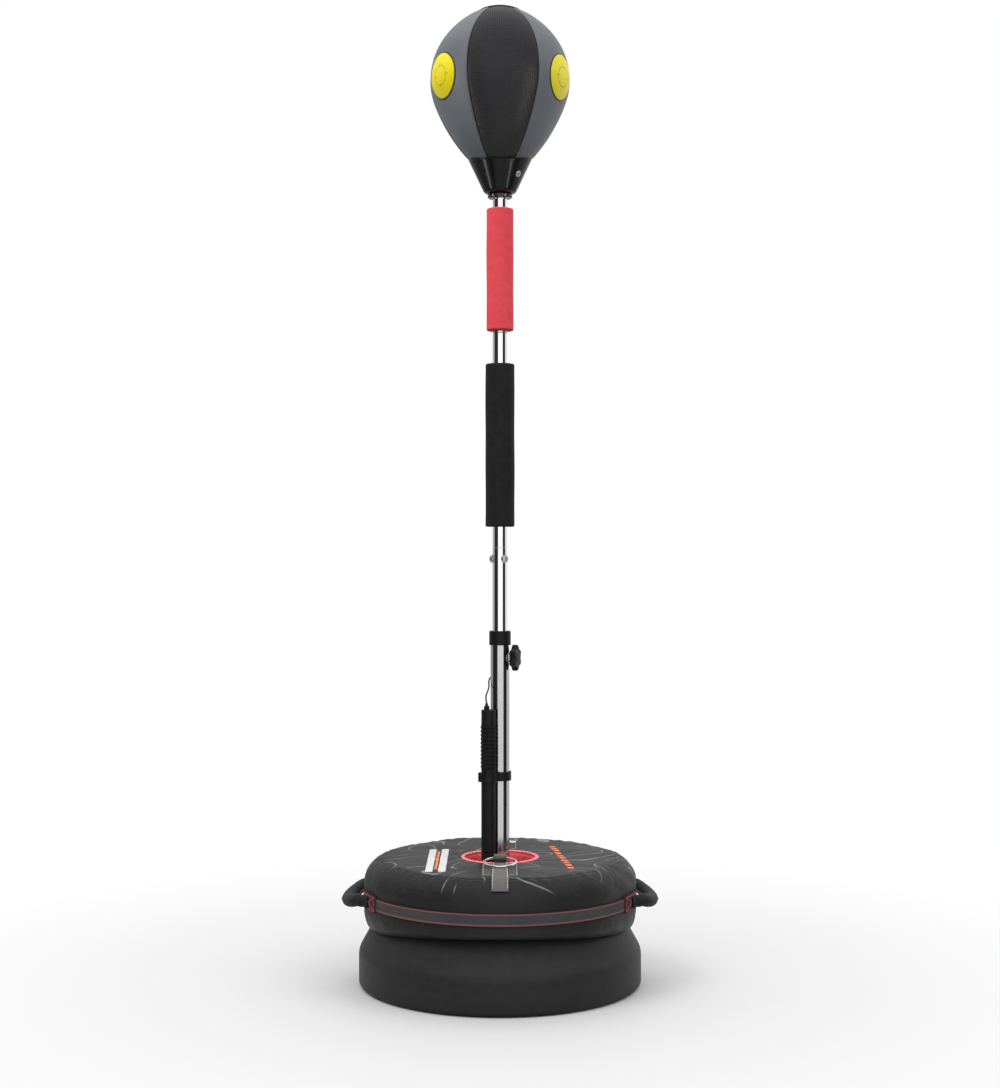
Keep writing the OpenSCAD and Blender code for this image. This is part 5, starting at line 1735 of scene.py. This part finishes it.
        z = np.linspace(1392, BALL_Z + 0.955 * BALL_UP, 60)
        inside = np.stack([ball_radius(z) - 6.5, z - 2], -1)
        Form().surface(turned(inside, 96), wrap=True, first=True, last=True).make(
            "bladder", "latex", "ball", "bladder_rubber", "ball_bladder"
        )
        return {"FINISHED"}


# ---------------------------------------------------------------------------------------------
# Hand pump
# ---------------------------------------------------------------------------------------------

PUMP = (-19.40, -21.55)


class REFLEX_OT_pump(Operator):
    """Hand pump: barrel, ribbed grip, head, nozzle, rod and handle, and the clip that holds it"""

    bl_idname = "reflex.pump"
    bl_label = "Hand pump"

    def execute(self, context):
        barrel = eased(ring_box(12, 10.6, 226, 437), 0.5, 4)
        Form().surface(turned(barrel, 64, PUMP), wrap=True, ring=True).make(
            "barrel_drawn", "pump", "base", "pump_plastic", "pump_barrel"
        )
        z = np.linspace(362, 436, 221)
        wave = ease((np.sin(2 * PI * (z - 364.2) / 6.6) + 0.2) / 0.8)
        ribs = 12.35 + 0.85 * wave * ease((z - 362) / 2) * ease((436 - z) / 2)
        outer = np.stack([ribs, z], -1)
        grip = np.concatenate([outer, [[12.03, 436], [12.03, 362]]])
        Form().surface(turned(grip, 64, PUMP), wrap=True, ring=True).make(
            "grip_ribbed", "grip", "base", "grip_rubber", "pump_grip", crease=55
        )
        softened("pump_head", "pump", 0.8)
        nozzle = [(0.4, 461.1), (4.2, 461.1), (4.6, 461.8), (4.6, 466.6), (3.6, 467.5), (2.4, 467.7)]
        nozzle += [(2.8, 468.8), (2.3, 469.9), (2.7, 471.1), (1.4, 471.95)]
        nozzle = eased(nozzle, 0.35, 4, False)
        Form().surface(turned(nozzle, 36, (-22.4, -21.6)), wrap=True, first=True, last=True).make(
            "nozzle_barbed", "pump", "base", "pump_plastic", "pump_nozzle"
        )
        for node, finish, slot, width in (
            ("pump_end_cap", "pump", "pump_plastic", 0.6),
            ("pump_handle", "pump", "pump_plastic", 1.2),
            ("pump_clip", "nylon", "pump_plastic", 0.5),
            ("pump_rod", "rod", "rod_steel", 0.3),
            ("pump_piston", "pump", "pump_plastic", 0.3),
            ("pump_seal", "rubber", "seal_rubber", 0.2),
        ):
            softened(node, finish, width)
        return {"FINISHED"}


class VIEW3D_PT_reflex(Panel):
    """Lists the makers and their settings"""

    bl_label = "Speed bag platform"
    bl_idname = "VIEW3D_PT_reflex"
    bl_space_type = "VIEW_3D"
    bl_region_type = "UI"
    bl_category = "Speed bag"

    def draw(self, context):
        for group in ("reflex_stage", "reflex_sizes", "reflex_look"):
            box = self.layout.box()
            settings = getattr(context.scene, group)
            for key in settings.bl_rna.properties.keys():
                if key not in {"rna_type", "name"}:
                    box.prop(settings, key)
        for maker in MAKERS:
            self.layout.operator(maker.bl_idname)


GROUPS = {"reflex_look": ReflexLook, "reflex_sizes": ReflexSizes, "reflex_stage": ReflexStage}
MAKERS = (
    REFLEX_OT_stage,
    REFLEX_OT_hose,
    REFLEX_OT_drum,
    REFLEX_OT_sandbag,
    REFLEX_OT_webbing,
    REFLEX_OT_rings,
    REFLEX_OT_handles,
    REFLEX_OT_pole,
    REFLEX_OT_lock,
    REFLEX_OT_sleeves,
    REFLEX_OT_ball,
    REFLEX_OT_pump,
    REFLEX_OT_strips,
)


def register():
    for cls in (*GROUPS.values(), *MAKERS, VIEW3D_PT_reflex):
        bpy.utils.register_class(cls)
    for name, group in GROUPS.items():
        setattr(bpy.types.Scene, name, PointerProperty(type=group))


def unregister():
    for name in GROUPS:
        delattr(bpy.types.Scene, name)
    for cls in (VIEW3D_PT_reflex, *reversed(MAKERS), *GROUPS.values()):
        bpy.utils.unregister_class(cls)


def main():
    register()
    for maker in MAKERS:
        group, name = maker.bl_idname.split(".")
        getattr(getattr(bpy.ops, group), name)()


if __name__ == "__main__":
    main()
